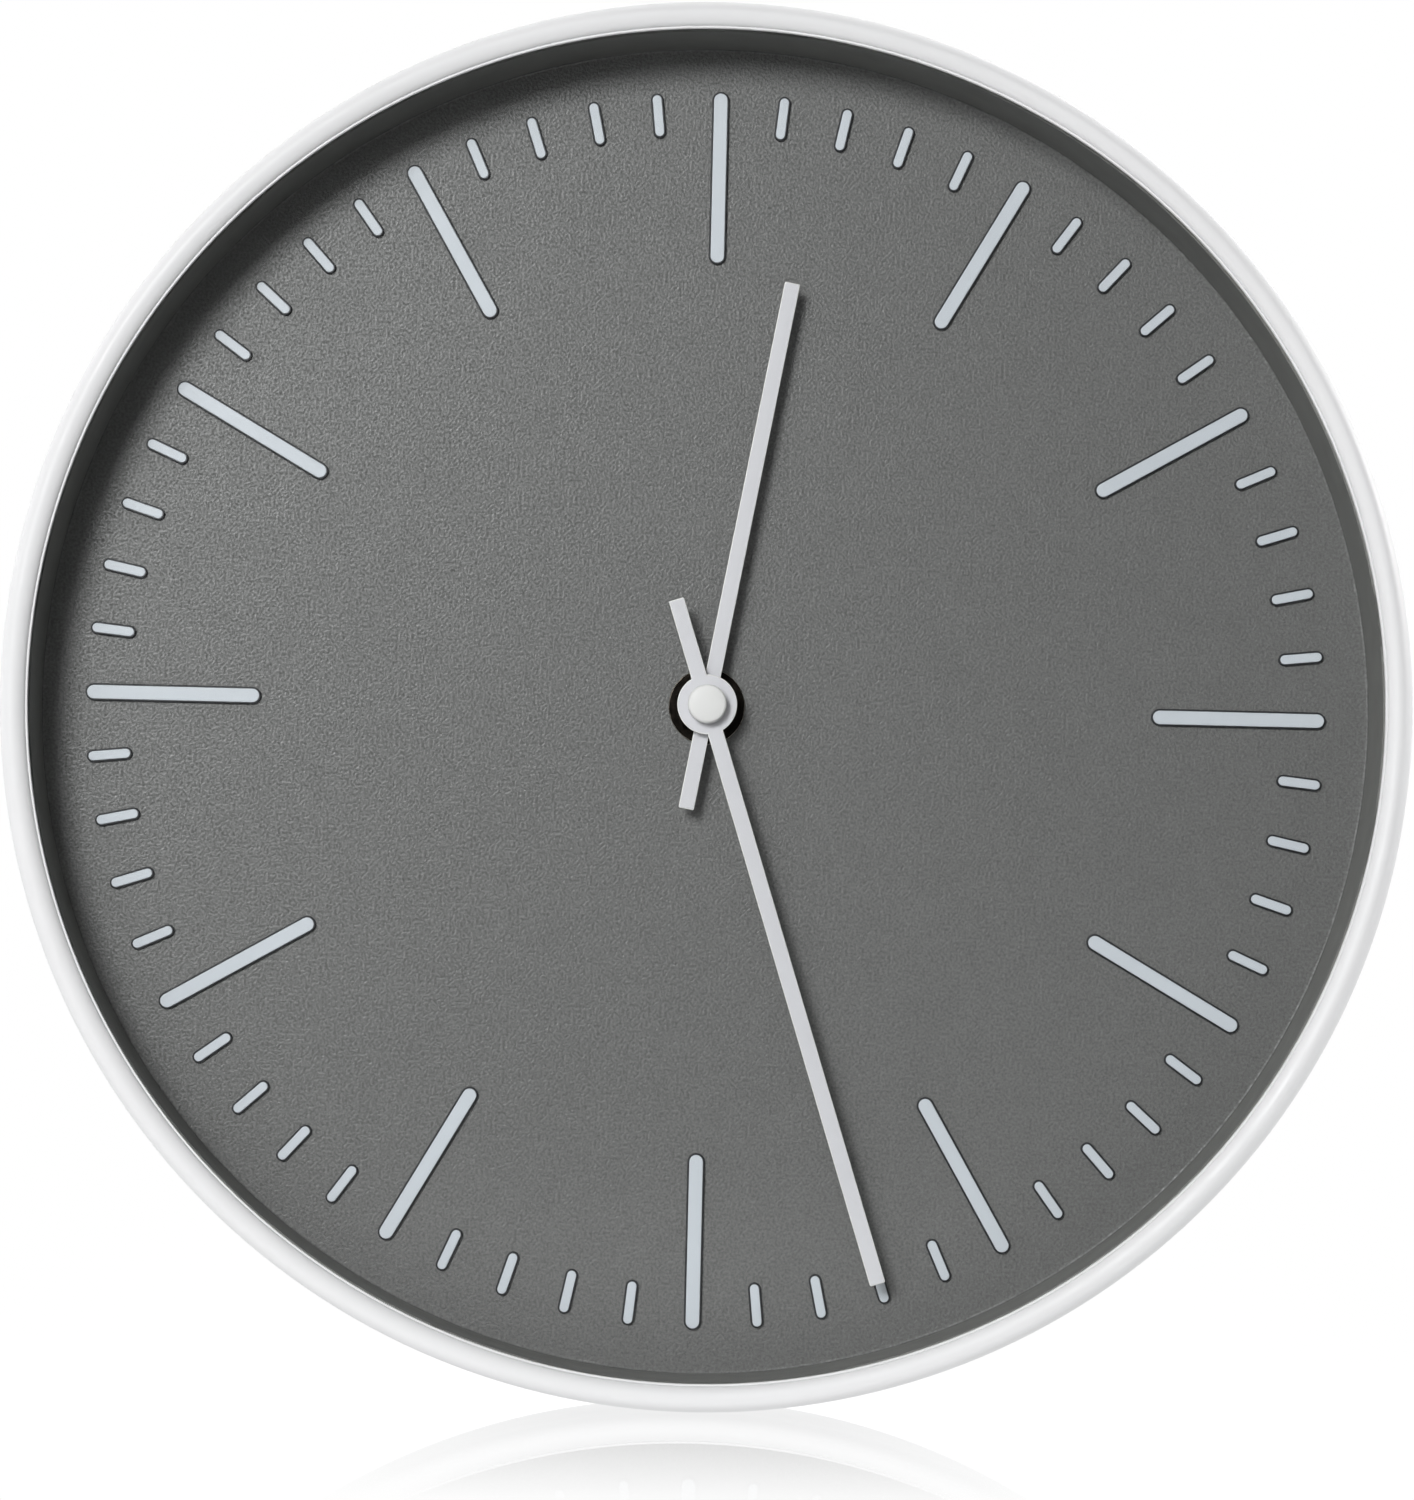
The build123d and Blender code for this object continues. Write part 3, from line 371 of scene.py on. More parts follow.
def metal(name, colour, rough, brush=(1, 1, 1), depth_mm=0.01, spots=None):
    """Bare or plated metal: brushed or pickled grain, uneven gloss and slight tarnish."""
    f = Finish(name, Metallic=1.0)
    stretch = f.node("ShaderNodeMapping", [("Vector", f.coordinates)], Scale=brush).outputs["Vector"]
    f.coordinates = stretch
    scale = 900
    tarnish = f.noise(60, 4, 0.6)
    f.set("Base Color", f.colours(tarnish, [(0.25, spots or shade(colour, 0.82)), (0.6, colour)]))
    f.set("Roughness", f.spread(f.noise(scale, 2), 0.3, 0.7, rough * 0.8, rough * 1.25))
    f.bump(f.noise(scale, 2), 0.3, depth_mm * MM)
    return f.material


def dial_plastic():
    """Warm grey plastic with a fine leather-like grain that is glossier in some specks than in others."""
    f = Finish("dial_grain")
    grain = f.noise(1700, 1, 0.5)
    greys = [(0.3, (0.138, 0.138, 0.136)), (0.7, (0.149, 0.149, 0.147))]
    f.set("Base Color", f.colours(f.noise(260, 3, 0.6), greys))
    f.set("Roughness", f.spread(f.noise(90, 2), 0.3, 0.7, 0.39, 0.44))
    f.set("Specular IOR Level", f.spread(grain, 0.3, 0.7, 0.0, 1.0))
    f.bump(grain, 1.0, 0.13 * MM)
    return f.material


def lens_glass():
    """Thin clear glass: what is behind it shows through, and its face mirrors a little."""
    material = bpy.data.materials.new("lens_glass")
    material.use_nodes = True
    tree = material.node_tree
    tree.nodes.clear()
    clear = tree.nodes.new("ShaderNodeBsdfTransparent")
    clear.inputs["Color"].default_value = (0.985, 0.99, 0.988, 1)
    mirror = tree.nodes.new("ShaderNodeBsdfGlossy")
    mirror.inputs["Roughness"].default_value = 0.03
    fresnel = tree.nodes.new("ShaderNodeFresnel")
    fresnel.inputs["IOR"].default_value = 1.22
    mix = tree.nodes.new("ShaderNodeMixShader")
    out = tree.nodes.new("ShaderNodeOutputMaterial")
    tree.links.new(fresnel.outputs["Fac"], mix.inputs["Fac"])
    tree.links.new(clear.outputs[0], mix.inputs[1])
    tree.links.new(mirror.outputs[0], mix.inputs[2])
    tree.links.new(mix.outputs[0], out.inputs["Surface"])
    return material


def copper_wire():
    """Fine enamelled wire, wound round the coil: rings across its length."""
    f = Finish("copper_wire", Metallic=1.0, Coat_Weight=0.4)
    links = [("Vector", f.coordinates)]
    wave = f.node("ShaderNodeTexWave", links, bands_direction="X", Scale=2600.0, Distortion=0.4)
    wire = wave.outputs["Fac"]
    f.set("Base Color", f.colours(wire, [(0.1, (0.30, 0.10, 0.04)), (0.7, (0.80, 0.36, 0.17))]))
    f.set("Roughness", f.spread(f.noise(700), 0.3, 0.7, 0.25, 0.4))
    f.bump(wire, 0.5, 0.06 * MM)
    return f.material


def board_laminate():
    """Green solder mask over faint tracks."""
    f = Finish("board_laminate", Coat_Weight=0.3)
    tracks = f.cell_edges(520)
    f.set("Base Color", f.colours(tracks, [(0.08, (0.11, 0.36, 0.17)), (0.16, (0.035, 0.17, 0.075))]))
    f.set("Roughness", f.spread(f.noise(400), 0.3, 0.7, 0.3, 0.45))
    f.bump(tracks, 0.3, 0.03 * MM)
    return f.material


rim_white = moulded("rim_white", (0.735, 0.737, 0.744), 0.46, 1500, 0.02, 0.012)
dial_grain = dial_plastic()
wall_plastic = moulded("dial_wall", (0.215, 0.215, 0.206), 0.5, 1200, 0.02)
back_plastic = moulded("dial_back", (0.105, 0.104, 0.102), 0.55, 800, 0.05)
# the near black of the marker pads is painted shade: it stands for the gap and shadow round each bar
pad_plastic = moulded("marker_pad_painted_shade", (0.016, 0.017, 0.021), 0.45, 1500, 0.02)
marker_paint = moulded("marker_paint", (0.62, 0.66, 0.71), 0.4, 1800, 0.015, 0.02)
hand_lacquer = moulded("hand_lacquer", (0.70, 0.695, 0.73), 0.38, 1600, 0.015, 0.02)
# the hands' rounded edges are coloured lighter than their faces as a painted highlight
hand_edge = moulded("hand_edge", (0.88, 0.87, 0.86), 0.35, 1600, 0.01, 0.02)
cap_white = moulded("cap_white", (0.81, 0.802, 0.797), 0.45, 1600, 0.02, 0.015)
movement_black = moulded("movement_black", (0.032, 0.032, 0.035), 0.46, 1600, 0.06)
acetal = moulded("acetal", (0.66, 0.65, 0.60), 0.4, 1400, 0.02, 0.03, Subsurface_Weight=0.1)
rubber = moulded("rubber", (0.025, 0.025, 0.025), 0.7, 1500, 0.05)
resin = moulded("resin", (0.018, 0.018, 0.02), 0.2, 500, 0.03)
jacket = moulded("battery_jacket", (0.06, 0.17, 0.36), 0.24, 900, 0.01, 0.05, Coat_Weight=0.5)
band_finish = {"Coat_Weight": 0.5, "Metallic": 0.6}
jacket_band = moulded("battery_band", (0.62, 0.64, 0.66), 0.25, 900, 0.01, 0.03, **band_finish)
magnet_grey = moulded("magnet_grey", (0.07, 0.07, 0.078), 0.38, 1800, 0.04, Metallic=0.7)
brass = metal("brass", (0.82, 0.62, 0.30), 0.24)
dark_nut = metal("nut_metal", (0.055, 0.046, 0.038), 0.2, depth_mm=0.003, spots=(0.03, 0.025, 0.02))
# bright metal for the washer's outer edge is a painted highlight along its rounded rim
worn_edge = metal("worn_edge", (0.78, 0.73, 0.64), 0.32, depth_mm=0.003)
zinc = metal("zinc_steel", (0.66, 0.67, 0.69), 0.30, brush=(1, 1, 0.15))
iron = metal("stator_iron", (0.42, 0.41, 0.40), 0.45, brush=(0.15, 1, 1))
nickel = metal("nickel_strip", (0.78, 0.76, 0.71), 0.22, brush=(1, 0.15, 1))
glass = lens_glass()
copper = copper_wire()
laminate = board_laminate()


# ---- the case ------------------------------------------------------------------------------------
def build_rim():
    """The white rim: bead in front, ledge over the lens, snap lugs behind the tray."""
    bead = arc(BEAD_X, BEAD_BACK, RIM_R - BEAD_X, BEAD_BACK - RIM_FRONT, 360, 270, 14)
    dip = arc(BEAD_X, DIP_Y, BEAD_X - LIP_R - LEDGE, DIP_Y - RIM_FRONT, 270, 180, 12)[1:]
    ledge_y = LENS_FRONT - 1.0
    soft = 0.12
    inner = [
        (LIP_R + LEDGE, ledge_y),
        (LIP_R + soft, ledge_y),
        (LIP_R + soft * 0.3, ledge_y + soft * 0.3),
        (LIP_R, ledge_y + soft),
        (LIP_R, LENS_FRONT),
        (RIM_BORE_R, LENS_FRONT),
        (RIM_BORE_R, WALL_Y - 0.4),
        (RIM_BORE_R + 0.4, WALL_Y),
    ]
    outer = [
        (RIM_BACK_R - 0.8, WALL_Y),
        (RIM_BACK_R - 0.25, WALL_Y - 0.2),
        (RIM_BACK_R, WALL_Y - 0.8),
        (RIM_BACK_R + 0.45, WALL_Y - 13.0),
        (RIM_BACK_R + 0.85, WALL_Y - 25.0),
    ]
    b = Builder()
    b.lathe(outer + bead + dip + inner)
    lug_front = DIAL_BACK + 0.1
    lug = [(RIM_BORE_R + 0.6, lug_front), (RIM_BORE_R - 1.1, lug_front), (RIM_BORE_R - 1.1, lug_front + 0.4)]
    lug += [(RIM_BORE_R + 0.6, lug_front + 3.2)]
    for i in range(8):
        b.turned(math.radians(22.5 + 45 * i)).lathe(lug, 8, arc_angle=math.radians(6))
    return b.object("rim", [rim_white], "case", ["frame_ring"])


def build_lens():
    edge = 0.3
    profile = [(0, LENS_FRONT), (LENS_R - edge, LENS_FRONT), (LENS_R, LENS_FRONT + edge)]
    profile += [(LENS_R, LENS_BACK - edge), (LENS_R - edge, LENS_BACK), (0, LENS_BACK)]
    b = Builder()
    b.lathe(profile)
    return b.object("lens_glass", [glass], "case", ["lens"])


HOUR_BAR = {"radius": 117.3, "length": 38.6, "width": 3.8}
MINUTE_BAR = {"radius": 131.6, "length": 10.0, "width": 2.8}
INSET = 0.4
SINK = 0.3  # how far a pad, rib or post starts below the face it stands on
FOLD_R = 0.5
RING_RIB = (46.0, 47.5)
RIB_FROM, RIB_TO, RIB_HALF = 46.6, 142.0, 0.75
RIB_END = DIAL_BACK + 4.0
POST_X, POST_Z, POST_END = 19.0, 116.0, depth("hanger_plate")[0]


def build_tray():
    """The dial with its wall, the marker pads, and the ribs and posts behind it."""
    inner_r = TRAY_R - WALL_THICK
    hole_r = reach("dial_washer")[0]
    fold = arc(inner_r - FOLD_R, DIAL_Y - FOLD_R, FOLD_R, FOLD_R, 90, 0, 4)
    top = [(inner_r, LENS_BACK), (TRAY_R, LENS_BACK)]
    back = [(TRAY_R, DIAL_BACK - 0.5), (TRAY_R - 0.5, DIAL_BACK), (hole_r, DIAL_BACK)]
    flat_end = inner_r - 1.0  # a ring close to the fold keeps the shading of the dial flat
    profile = [(hole_r, DIAL_Y), (flat_end, DIAL_Y)] + fold + top + back
    grained, wall, behind, pad = range(4)
    slots = [grained] * (len(fold) + 1) + [wall] * 3 + [behind] * (len(back) - 1) + [wall]
    b = Builder()
    b.lathe(profile, slots=slots)
    for i in range(60):
        mark = MINUTE_BAR if i % 5 else HOUR_BAR
        b.turned(math.radians(6 * i))
        # the pads take the near-black painted shade round the bars
        b.bar(mark["length"], mark["width"], DIAL_Y + SINK, PAD_FRONT, 0.18, mark["radius"], pad)
    start = DIAL_BACK - SINK
    rib = tapered(box_outline(-RIB_HALF, RIB_HALF, RIB_FROM, RIB_TO, 0.3), start, RIB_END, 0.25)
    for i in range(12):
        b.turned(math.radians(15 + 30 * i))
        b.stack(rib, behind)
    b.turned(0)
    ring = ring_profile(*RING_RIB, start, RIB_END, 0.3)
    b.lathe(ring, 96, [behind] * len(ring))
    post = rounded([(0, start, 0), (4.5, start, 0), (4.5, DIAL_BACK, 0), (4, DIAL_BACK + 0.6, 0.2)])
    post = post[:-1] + [(4, POST_END - 0.3), (3.7, POST_END), (0, POST_END)]
    for x in (-POST_X, POST_X):
        b.lathe(post, 40, [behind] * len(post), cx=x, cz=POST_Z)
    plastics = [dial_grain, wall_plastic, back_plastic, pad_plastic]
    return b.object("dial_tray_looks", plastics, "case", ["dial_tray"])


def tapered(outline, start, end, edge):
    """Layers of a block whose far edge is rounded, for Builder.stack."""
    xs, zs = [p[0] for p in outline], [p[1] for p in outline]
    cx, cz = (min(xs) + max(xs)) / 2, (min(zs) + max(zs)) / 2
    half_x, half_z = (max(xs) - min(xs)) / 2, (max(zs) - min(zs)) / 2
    way = 1 if end > start else -1
    layers = [(outline, start)]
    for i in range(4):
        a = math.pi / 2 * i / 3
        shrink = edge * (1 - math.cos(a))
        kx, kz = (half_x - shrink) / half_x, (half_z - shrink) / half_z
        moved = [(cx + (x - cx) * kx, cz + (z - cz) * kz) for x, z in outline]
        layers.append((moved, end - way * edge * (1 - math.sin(a))))
    return layers


def ring_profile(inner, outer, front, back, edge):
    """A ring's section for Builder.lathe, its four corners rounded by edge."""
    return rounded([(inner, front, edge), (outer, front, edge), (outer, back, edge), (inner, back, edge)], 3)


def build_markers():
    """The painted bars let into the pads, with an even border round each in the pads' near-black painted
    shade.
    """
    for name, mark, angles in (
        ("hour_bars", HOUR_BAR, range(0, 60, 5)),
        ("minute_bars", MINUTE_BAR, [i for i in range(60) if i % 5]),
    ):
        b = Builder()
        for i in angles:
            b.turned(math.radians(6 * i))
            length, width = mark["length"] - 2 * INSET, mark["width"] - 2 * INSET
            b.bar(length, width, PAD_FRONT + 0.1, INLAY_FRONT, 0.14, mark["radius"])
        b.object(name, [marker_paint], "case", ["hour_markers" if mark is HOUR_BAR else "minute_markers"])


# ---- the hands and what holds them ---------------------------------------------------------------
def hand_outline(tip, tail, width, hub_r, corner):
    """A straight bar through a round hub, pointing to 12."""
    half = width / 2
    meet = math.degrees(math.asin(half / hub_r))
    right = arc(0, 0, hub_r, hub_r, -90 + meet, 90 - meet, 28)
    left = arc(0, 0, hub_r, hub_r, 90 + meet, 270 - meet, 28)
    top = arc(half - corner, tip - corner, corner, corner, 0, 90, 4)
    top += arc(-half + corner, tip - corner, corner, corner, 90, 180, 4)
    bottom = arc(-half + corner, -tail + corner, corner, corner, 180, 270, 4)
    bottom += arc(half - corner, -tail + corner, corner, corner, 270, 360, 4)
    return right + top + left + bottom


HOUR_HUB_R, MINUTE_HUB_R = 6.0, 6.55
HALF_TIP = 1.7  # half the width of a hand at its tip


def build_hand(node, hub_r, bush, body):
    """A hand's blade, as long, wide and turned as its CAD node."""
    front, back = depth(node)
    angle = pointing(node)
    tip = reach(node)[1] * math.cos(math.asin(HALF_TIP / reach(node)[1]))
    along = Vector((math.sin(angle), math.cos(angle)))
    points = [Vector((v.co.x, v.co.z - AXIS_Z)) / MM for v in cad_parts[node].data.vertices]
    tail = -min(p.dot(along) for p in points)
    across = [abs(p.cross(along)) for p in points if p.dot(along) > tip / 2]
    outline = hand_outline(tip, tail, 2 * max(across), hub_r, 0.35)
    hole = circle(reach(bush)[1], 48)
    # the lighter edge colour is a painted highlight along the blade's rounded edges
    finishes = [hand_lacquer, hand_edge]
    plate(node + "_blade", [outline, hole], front, back, 0.2, finishes, body, [node], angle)


def build_bush(node, body):
    inner, outer = reach(node)
    b = Builder()
    b.lathe(ring_profile(inner, outer, *depth(node), 0.15), 64)
    b.object(node + "_turned", [brass], body, [node])


def build_cap():
    """The shaft's cap: a low dome with a soft edge, open behind."""
    front, back = depth("centre_cap")
    radius = reach("centre_cap")[1]
    edge, dome = 0.75, 0.12
    top = arc(radius - edge, front + edge + dome, edge, edge, 0, -80, 8)
    profile = [(1.55, back)] + [(radius - 0.1, back), (radius, back - 0.1)] + top
    profile += [(radius * 0.5, front + dome * 0.25), (0, front), (0, back - 1.0), (1.55, back - 1.0)]
    b = Builder()
    b.lathe(profile, 72)
    b.object("shaft_cap", [cap_white], "minute", ["centre_cap"], sharp=50)


def build_nut():
    """The hexagon nut with its chamfered corners and a washer under it."""
    front, back = depth("hex_nut")
    half_flat = 6.1
    bore = reach("hex_nut")[0]
    chamfer_r = half_flat - 0.15
    steps = 72
    twist = math.radians(12)
    rings = []
    for i in range(steps):
        a = FULL * i / steps
        hexagon = half_flat / math.cos((a + math.radians(30)) % math.radians(60) - math.radians(30))
        drop = (hexagon - chamfer_r) * math.tan(math.radians(30))
        ring = [(bore, back), (hexagon - 0.1, back), (hexagon, back - 0.15), (hexagon, front + drop)]
        ring += [(chamfer_r, front), (bore + 0.4, front), (bore, front + 0.4)]
        rings.append([(r * math.cos(a + twist), y, r * math.sin(a + twist)) for r, y in ring])
    count = len(rings[0])
    faces = []
    for i in range(steps):
        j = (i + 1) % steps
        for k in range(count):
            n = (k + 1) % count
            faces.append([i * count + k, i * count + n, j * count + n, j * count + k])
    b = Builder()
    b.add([p for ring in rings for p in ring], faces)
    b.object("shaft_nut", [dark_nut], "case", ["hex_nut"], sharp=20)
    inner, outer = reach("dial_washer")
    w = Builder()
    profile = ring_profile(inner, outer, *depth("dial_washer"), 0.22)
    pairs = zip(profile, profile[1:] + profile[:1])
    # the faces at the washer's outer edge take the bright painted highlight
    w.lathe(profile, 96, slots=[int(max(here[0], there[0]) > outer - 0.1) for here, there in pairs])
    w.object("shaft_washer", [dark_nut, worn_edge], "case", ["dial_washer"])


# ---- the movement and the back -------------------------------------------------------------------
def build_battery():
    """An AA cell along X: jacket with a bright band, shoulder, button and flat end."""
    low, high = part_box("battery")
    x0, x1 = low.x / MM, high.x / MM
    y, z = (low.y + high.y) / 2 / MM, (low.z + high.z) / 2 / MM - AXIS_Z / MM
    radius = (high.z - low.z) / 2 / MM
    shoulder = x1 - 1.2
    profile = [(0, x0), (4.6, x0), (4.9, x0 + 0.25), (6.3, x0 + 0.25), (6.5, x0 + 0.05)]
    ends = len(profile) - 1
    profile += [(radius - 0.3, x0 + 0.1), (radius, x0 + 0.5), (radius, x0 + 33.0), (radius, shoulder - 0.6)]
    profile += [(radius - 0.4, shoulder - 0.1), (radius - 1.0, shoulder)]
    profile += [(radius - 1.1, shoulder - 0.2), (3.4, shoulder - 0.2), (3.0, shoulder)]
    profile += [(2.75, shoulder + 0.2), (2.75, x1 - 0.25), (2.5, x1), (0, x1)]
    bright, blue, band = 0, 1, 2
    slots = [bright] * ends + [blue] * 3 + [band] * 3
    slots += [bright] * (len(profile) - len(slots))
    b = Builder()
    b.lathe(profile, 72, slots, cx=y, cz=z, along="X")
    b.object("battery_cell", [nickel, jacket, jacket_band], "cell", ["battery"])


def softened(name, node, material, body, edge, marks=None):
    """The shape of a CAD node with its sharp edges rounded by edge, in mm, and small marks raised on it."""
    work = bmesh.new()
    work.from_mesh(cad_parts[node].data)
    bmesh.ops.remove_doubles(work, verts=work.verts, dist=1e-6)
    bmesh.ops.dissolve_limit(work, angle_limit=math.radians(0.4), verts=work.verts, edges=work.edges)
    bent = math.radians(36)
    sharp = [e for e in work.edges if e.is_manifold and e.calc_face_angle(0) > bent]
    how = {"segments": 2, "profile": 0.5, "affect": "EDGES", "clamp_overlap": True}
    bmesh.ops.bevel(work, geom=sharp, offset=edge * MM, **how)
    if marks:
        work.from_mesh(marks.mesh(name + "_marks"))
    mesh = bpy.data.meshes.new(name)
    work.to_mesh(mesh)
    work.free()
    mesh.materials.clear()
    mesh.materials.append(material)
    clean(mesh, SHARP)
    place(name, mesh, body, [node])


def polarity_signs():
    """Raised plus and minus signs beside the ends of the battery's bay."""
    low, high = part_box("battery")
    back = depth("movement_cover")[1]
    z = (high.z - AXIS_Z) / MM + 4.5
    plus_x, minus_x = high.x / MM - 4.0, low.x / MM + 4.0
    arm, half = 1.7, 0.35
    plus = [(half, half), (arm, half), (arm, -half), (half, -half), (half, -arm), (-half, -arm)]
    plus += [(-half, -half), (-arm, -half), (-arm, half), (-half, half), (-half, arm), (half, arm)]
    b = Builder()
    b.stack(tapered([(plus_x + x, z + y) for x, y in plus], back - 0.2, back + 0.3, 0.12))
    minus = box_outline(minus_x - arm, minus_x + arm, z - half, z + half, 0.1)
    b.stack(tapered(minus, back - 0.2, back + 0.3, 0.12))
    return b


# the CAD nodes whose shape is already right get their finish here
FINISHES = {
    "rubber_washer": rubber,
    "train_bridge": acetal,
    "bridge_screws": zinc,
    "hour_wheel": acetal,
    "minute_wheel": acetal,
    "minute_pipe": acetal,
    "centre_wheel": acetal,
    "third_wheel": acetal,
    "seconds_wheel": acetal,
    "fifth_wheel": acetal,
    "rotor_pinion": acetal,
    "rotor_magnet": magnet_grey,
    "stator": iron,
    "coil_core": iron,
    "coil_bobbin": acetal,
    "coil_winding": copper,
    "circuit_board": laminate,
    "quartz_crystal": nickel,
    "timer_chip": resin,
    "contact_positive": nickel,
    "contact_negative": nickel,
}


def finish_cad_nodes():
    """Gives the CAD nodes that stay as they are their materials."""
    for node, material in FINISHES.items():
        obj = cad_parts[node]
        obj.data.materials.clear()
        obj.data.materials.append(material)


# ---- studio --------------------------------------------------------------------------------------
DIAL_CENTRE = Vector((0, DIAL_Y * MM, AXIS_Z))


def area_light(name, direction, distance, size, power):
    """A round lamp at a distance from the dial's centre, facing it. Metres and watts."""
    light = bpy.data.lights.new(name, "AREA")
    light.shape, light.size, light.energy = "DISK", size, power
    obj = bpy.data.objects.new(name, light)
    bpy.context.scene.collection.objects.link(obj)
    away = Vector(direction).normalized()
    obj.location = DIAL_CENTRE + away * distance
    obj.rotation_euler = away.to_track_quat("Z", "Y").to_euler()
    return obj


def build_world(front, behind):
    """A white sweep behind the clock, a dimmer room in front of it, and a white backdrop for the camera."""
    world = bpy.data.worlds.new("studio")
    bpy.context.scene.world = world
    world.use_nodes = True
    tree = world.node_tree
    tree.nodes.clear()
    room = tree.nodes.new("ShaderNodeBackground")
    white = tree.nodes.new("ShaderNodeBackground")
    for node in (room, white):
        node.inputs["Color"].default_value = (1, 1, 1, 1)
    way = tree.nodes.new("ShaderNodeTexCoord")
    split = tree.nodes.new("ShaderNodeSeparateXYZ")
    tree.links.new(way.outputs["Generated"], split.inputs[0])
    ramp = tree.nodes.new("ShaderNodeMapRange")
    for socket, value in (("From Min", -0.2), ("From Max", 0.15), ("To Min", front), ("To Max", behind)):
        ramp.inputs[socket].default_value = value
    tree.links.new(split.outputs["Y"], ramp.inputs["Value"])
    tree.links.new(ramp.outputs["Result"], room.inputs["Strength"])
    path = tree.nodes.new("ShaderNodeLightPath")
    mix = tree.nodes.new("ShaderNodeMixShader")
    out = tree.nodes.new("ShaderNodeOutputWorld")
    tree.links.new(path.outputs["Is Camera Ray"], mix.inputs["Fac"])
    tree.links.new(room.outputs[0], mix.inputs[1])
    tree.links.new(white.outputs[0], mix.inputs[2])
    tree.links.new(mix.outputs[0], out.inputs["Surface"])


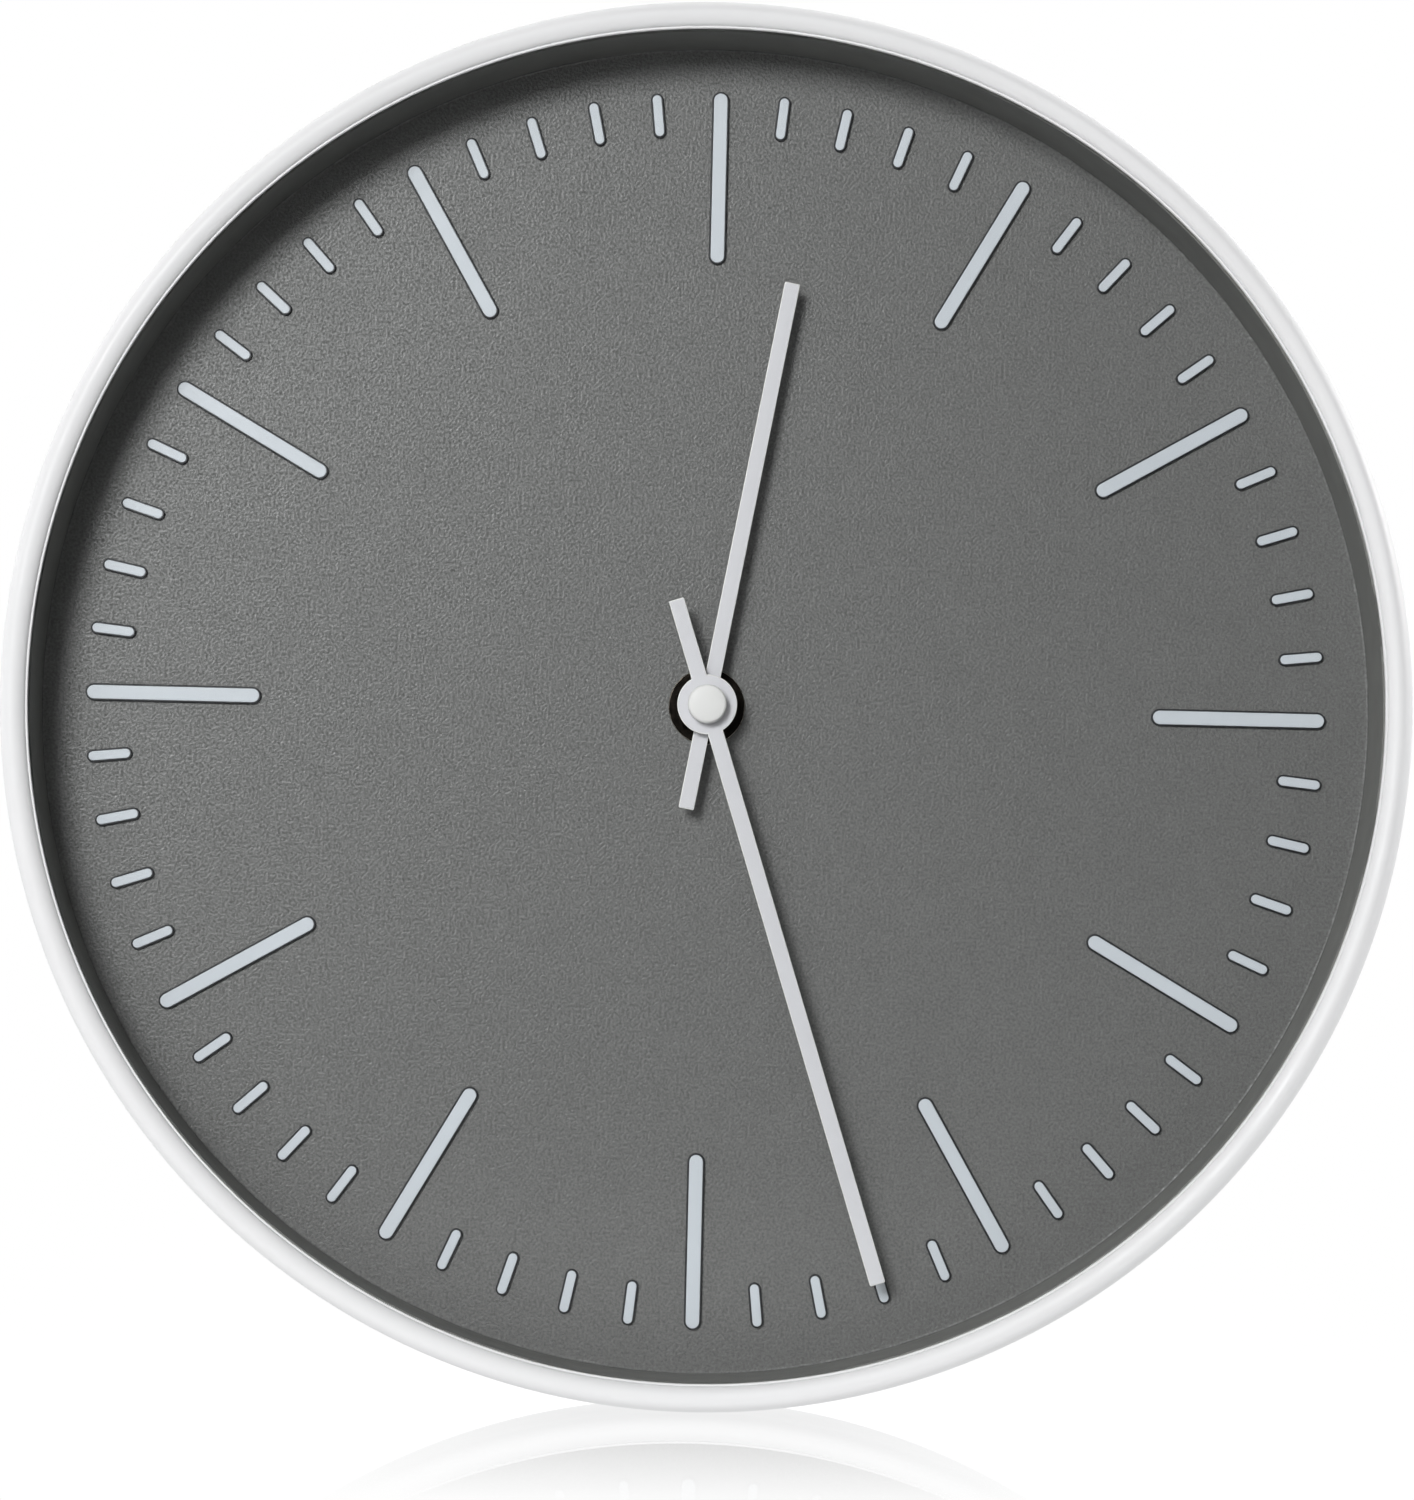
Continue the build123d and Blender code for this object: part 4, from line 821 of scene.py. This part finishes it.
def build_floor():
    """A white table, which mirrors the clock faintly where the two meet.

    It bounces light like paper that glows under the clock and grows dim far in front of it,
    so that the lens doesn't mirror its edge."""
    material = bpy.data.materials.new("pale_floor")
    material.use_nodes = True
    tree = material.node_tree
    tree.nodes.clear()
    paper = tree.nodes.new("ShaderNodeBsdfDiffuse")
    dim = tree.nodes.new("ShaderNodeMapRange")
    for socket, value in (("From Min", -1.1), ("From Max", -0.12), ("To Min", 0.03), ("To Max", 0.6)):
        dim.inputs[socket].default_value = value
    glow = tree.nodes.new("ShaderNodeEmission")
    glow.inputs["Strength"].default_value = 1.0
    mirror = tree.nodes.new("ShaderNodeBsdfGlossy")
    mirror.inputs["Roughness"].default_value = 0.02
    mirror.inputs["Color"].default_value = (1, 1, 1, 1)
    spot = tree.nodes.new("ShaderNodeTexCoord")
    split = tree.nodes.new("ShaderNodeSeparateXYZ")
    across = tree.nodes.new("ShaderNodeMapRange")
    for socket, value in (("From Min", -0.19), ("From Max", 0.10)):
        across.inputs[socket].default_value = value
    fade = tree.nodes.new("ShaderNodeValToRGB")
    fade.color_ramp.elements.new(0.5)
    for element, share in zip(fade.color_ramp.elements, (0.02, 0.46, 0.02)):
        element.color = (share, share, share, 1)
    aside = tree.nodes.new("ShaderNodeMath")
    aside.operation = "ABSOLUTE"
    narrow = tree.nodes.new("ShaderNodeMapRange")
    for socket, value in (("From Min", 0.08), ("From Max", 0.20), ("To Min", 1.0), ("To Max", 0.0)):
        narrow.inputs[socket].default_value = value
    patch = tree.nodes.new("ShaderNodeMath")
    patch.operation = "MULTIPLY"
    near = tree.nodes.new("ShaderNodeMapRange")
    for socket, value in (("From Min", -0.16), ("From Max", -0.05), ("To Max", 0.8)):
        near.inputs[socket].default_value = value
    lit = tree.nodes.new("ShaderNodeMixShader")
    seen = tree.nodes.new("ShaderNodeMixShader")
    path = tree.nodes.new("ShaderNodeLightPath")
    mix = tree.nodes.new("ShaderNodeMixShader")
    out = tree.nodes.new("ShaderNodeOutputMaterial")
    for source, socket in (
        (spot.outputs["Object"], split.inputs[0]),
        (split.outputs["Y"], dim.inputs["Value"]),
        (dim.outputs["Result"], paper.inputs["Color"]),
        (split.outputs["Y"], across.inputs["Value"]),
        (across.outputs["Result"], fade.inputs["Fac"]),
        (split.outputs["X"], aside.inputs[0]),
        (aside.outputs["Value"], narrow.inputs["Value"]),
        (fade.outputs["Color"], patch.inputs[0]),
        (narrow.outputs["Result"], patch.inputs[1]),
        (patch.outputs["Value"], seen.inputs["Fac"]),
        (glow.outputs[0], seen.inputs[1]),
        (mirror.outputs[0], seen.inputs[2]),
        (path.outputs["Is Camera Ray"], mix.inputs["Fac"]),
        (split.outputs["Y"], near.inputs["Value"]),
        (near.outputs["Result"], lit.inputs["Fac"]),
        (paper.outputs[0], lit.inputs[1]),
        (glow.outputs[0], lit.inputs[2]),
        (lit.outputs[0], mix.inputs[1]),
        (seen.outputs[0], mix.inputs[2]),
        (mix.outputs[0], out.inputs["Surface"]),
    ):
        tree.links.new(source, socket)
    side, z = 3.0, cad_low.z
    corners = [(-side, -side, z), (side, -side, z), (side, side, z), (-side, side, z)]
    mesh = bpy.data.meshes.new("floor")
    mesh.from_pydata(corners, [], [(0, 1, 2, 3)])
    mesh.materials.append(material)
    floor = bpy.data.objects.new("floor", mesh)
    bpy.context.scene.collection.objects.link(floor)


CAMERA_FROM_DIAL = Vector((-11.7, -916.2, -55.6)) * MM
CAMERA_LOOKS = Vector((0.01306, 0.99865, 0.05018))
CAMERA_ROLL = math.radians(1.338)


def build_camera():
    camera = bpy.data.cameras.new("camera")
    camera.lens = 100.0
    camera.sensor_width = 36.0
    camera.clip_start, camera.clip_end = 0.01, 50.0
    obj = bpy.data.objects.new("camera", camera)
    bpy.context.scene.collection.objects.link(obj)
    obj.location = DIAL_CENTRE + CAMERA_FROM_DIAL
    aim = CAMERA_LOOKS.to_track_quat("-Z", "Y") @ Quaternion((0, 0, 1), CAMERA_ROLL)
    obj.rotation_euler = aim.to_euler()
    bpy.context.scene.camera = obj


build_camera()
build_rim()
build_lens()
build_tray()
build_markers()
build_hand("hour_hand", HOUR_HUB_R, "hour_hand_bush", "hour")
build_hand("minute_hand", MINUTE_HUB_R, "minute_hand_bush", "minute")
build_bush("hour_hand_bush", "hour")
build_bush("minute_hand_bush", "minute")
build_cap()
build_nut()
build_battery()
softened("movement_front_shell", "movement_base", movement_black, "case", 0.2)
softened("movement_back_cover", "movement_cover", movement_black, "case", 0.25, polarity_signs())
softened("hanger_bracket", "hanger_plate", zinc, "case", 0.15)
softened("bracket_screws", "hanger_screws", zinc, "case", 0.12)
softened("hand_setting_knob", "setting_knob", acetal, "knob", 0.15)
finish_cad_nodes()

bpy.context.scene.view_settings.view_transform = "Standard"
build_world(0.03, 1.35)
build_floor()
key_side = (-0.325, -0.900, 0.305)
area_light("key", key_side, 2.0, 0.6, 25.0)
broad = area_light("key_spread", key_side, 2.0, 1.7, 9.9)
broad.visible_glossy = False
area_light("side", (-0.62, -0.78, 0.05), 0.85, 0.5, 0.5)
area_light("right_edge", (0.93, 0.14, 0.35), 1.2, 0.25, 5.5)
area_light("back_fill", (0.45, 0.85, 0.5), 2.4, 1.4, 8.0)
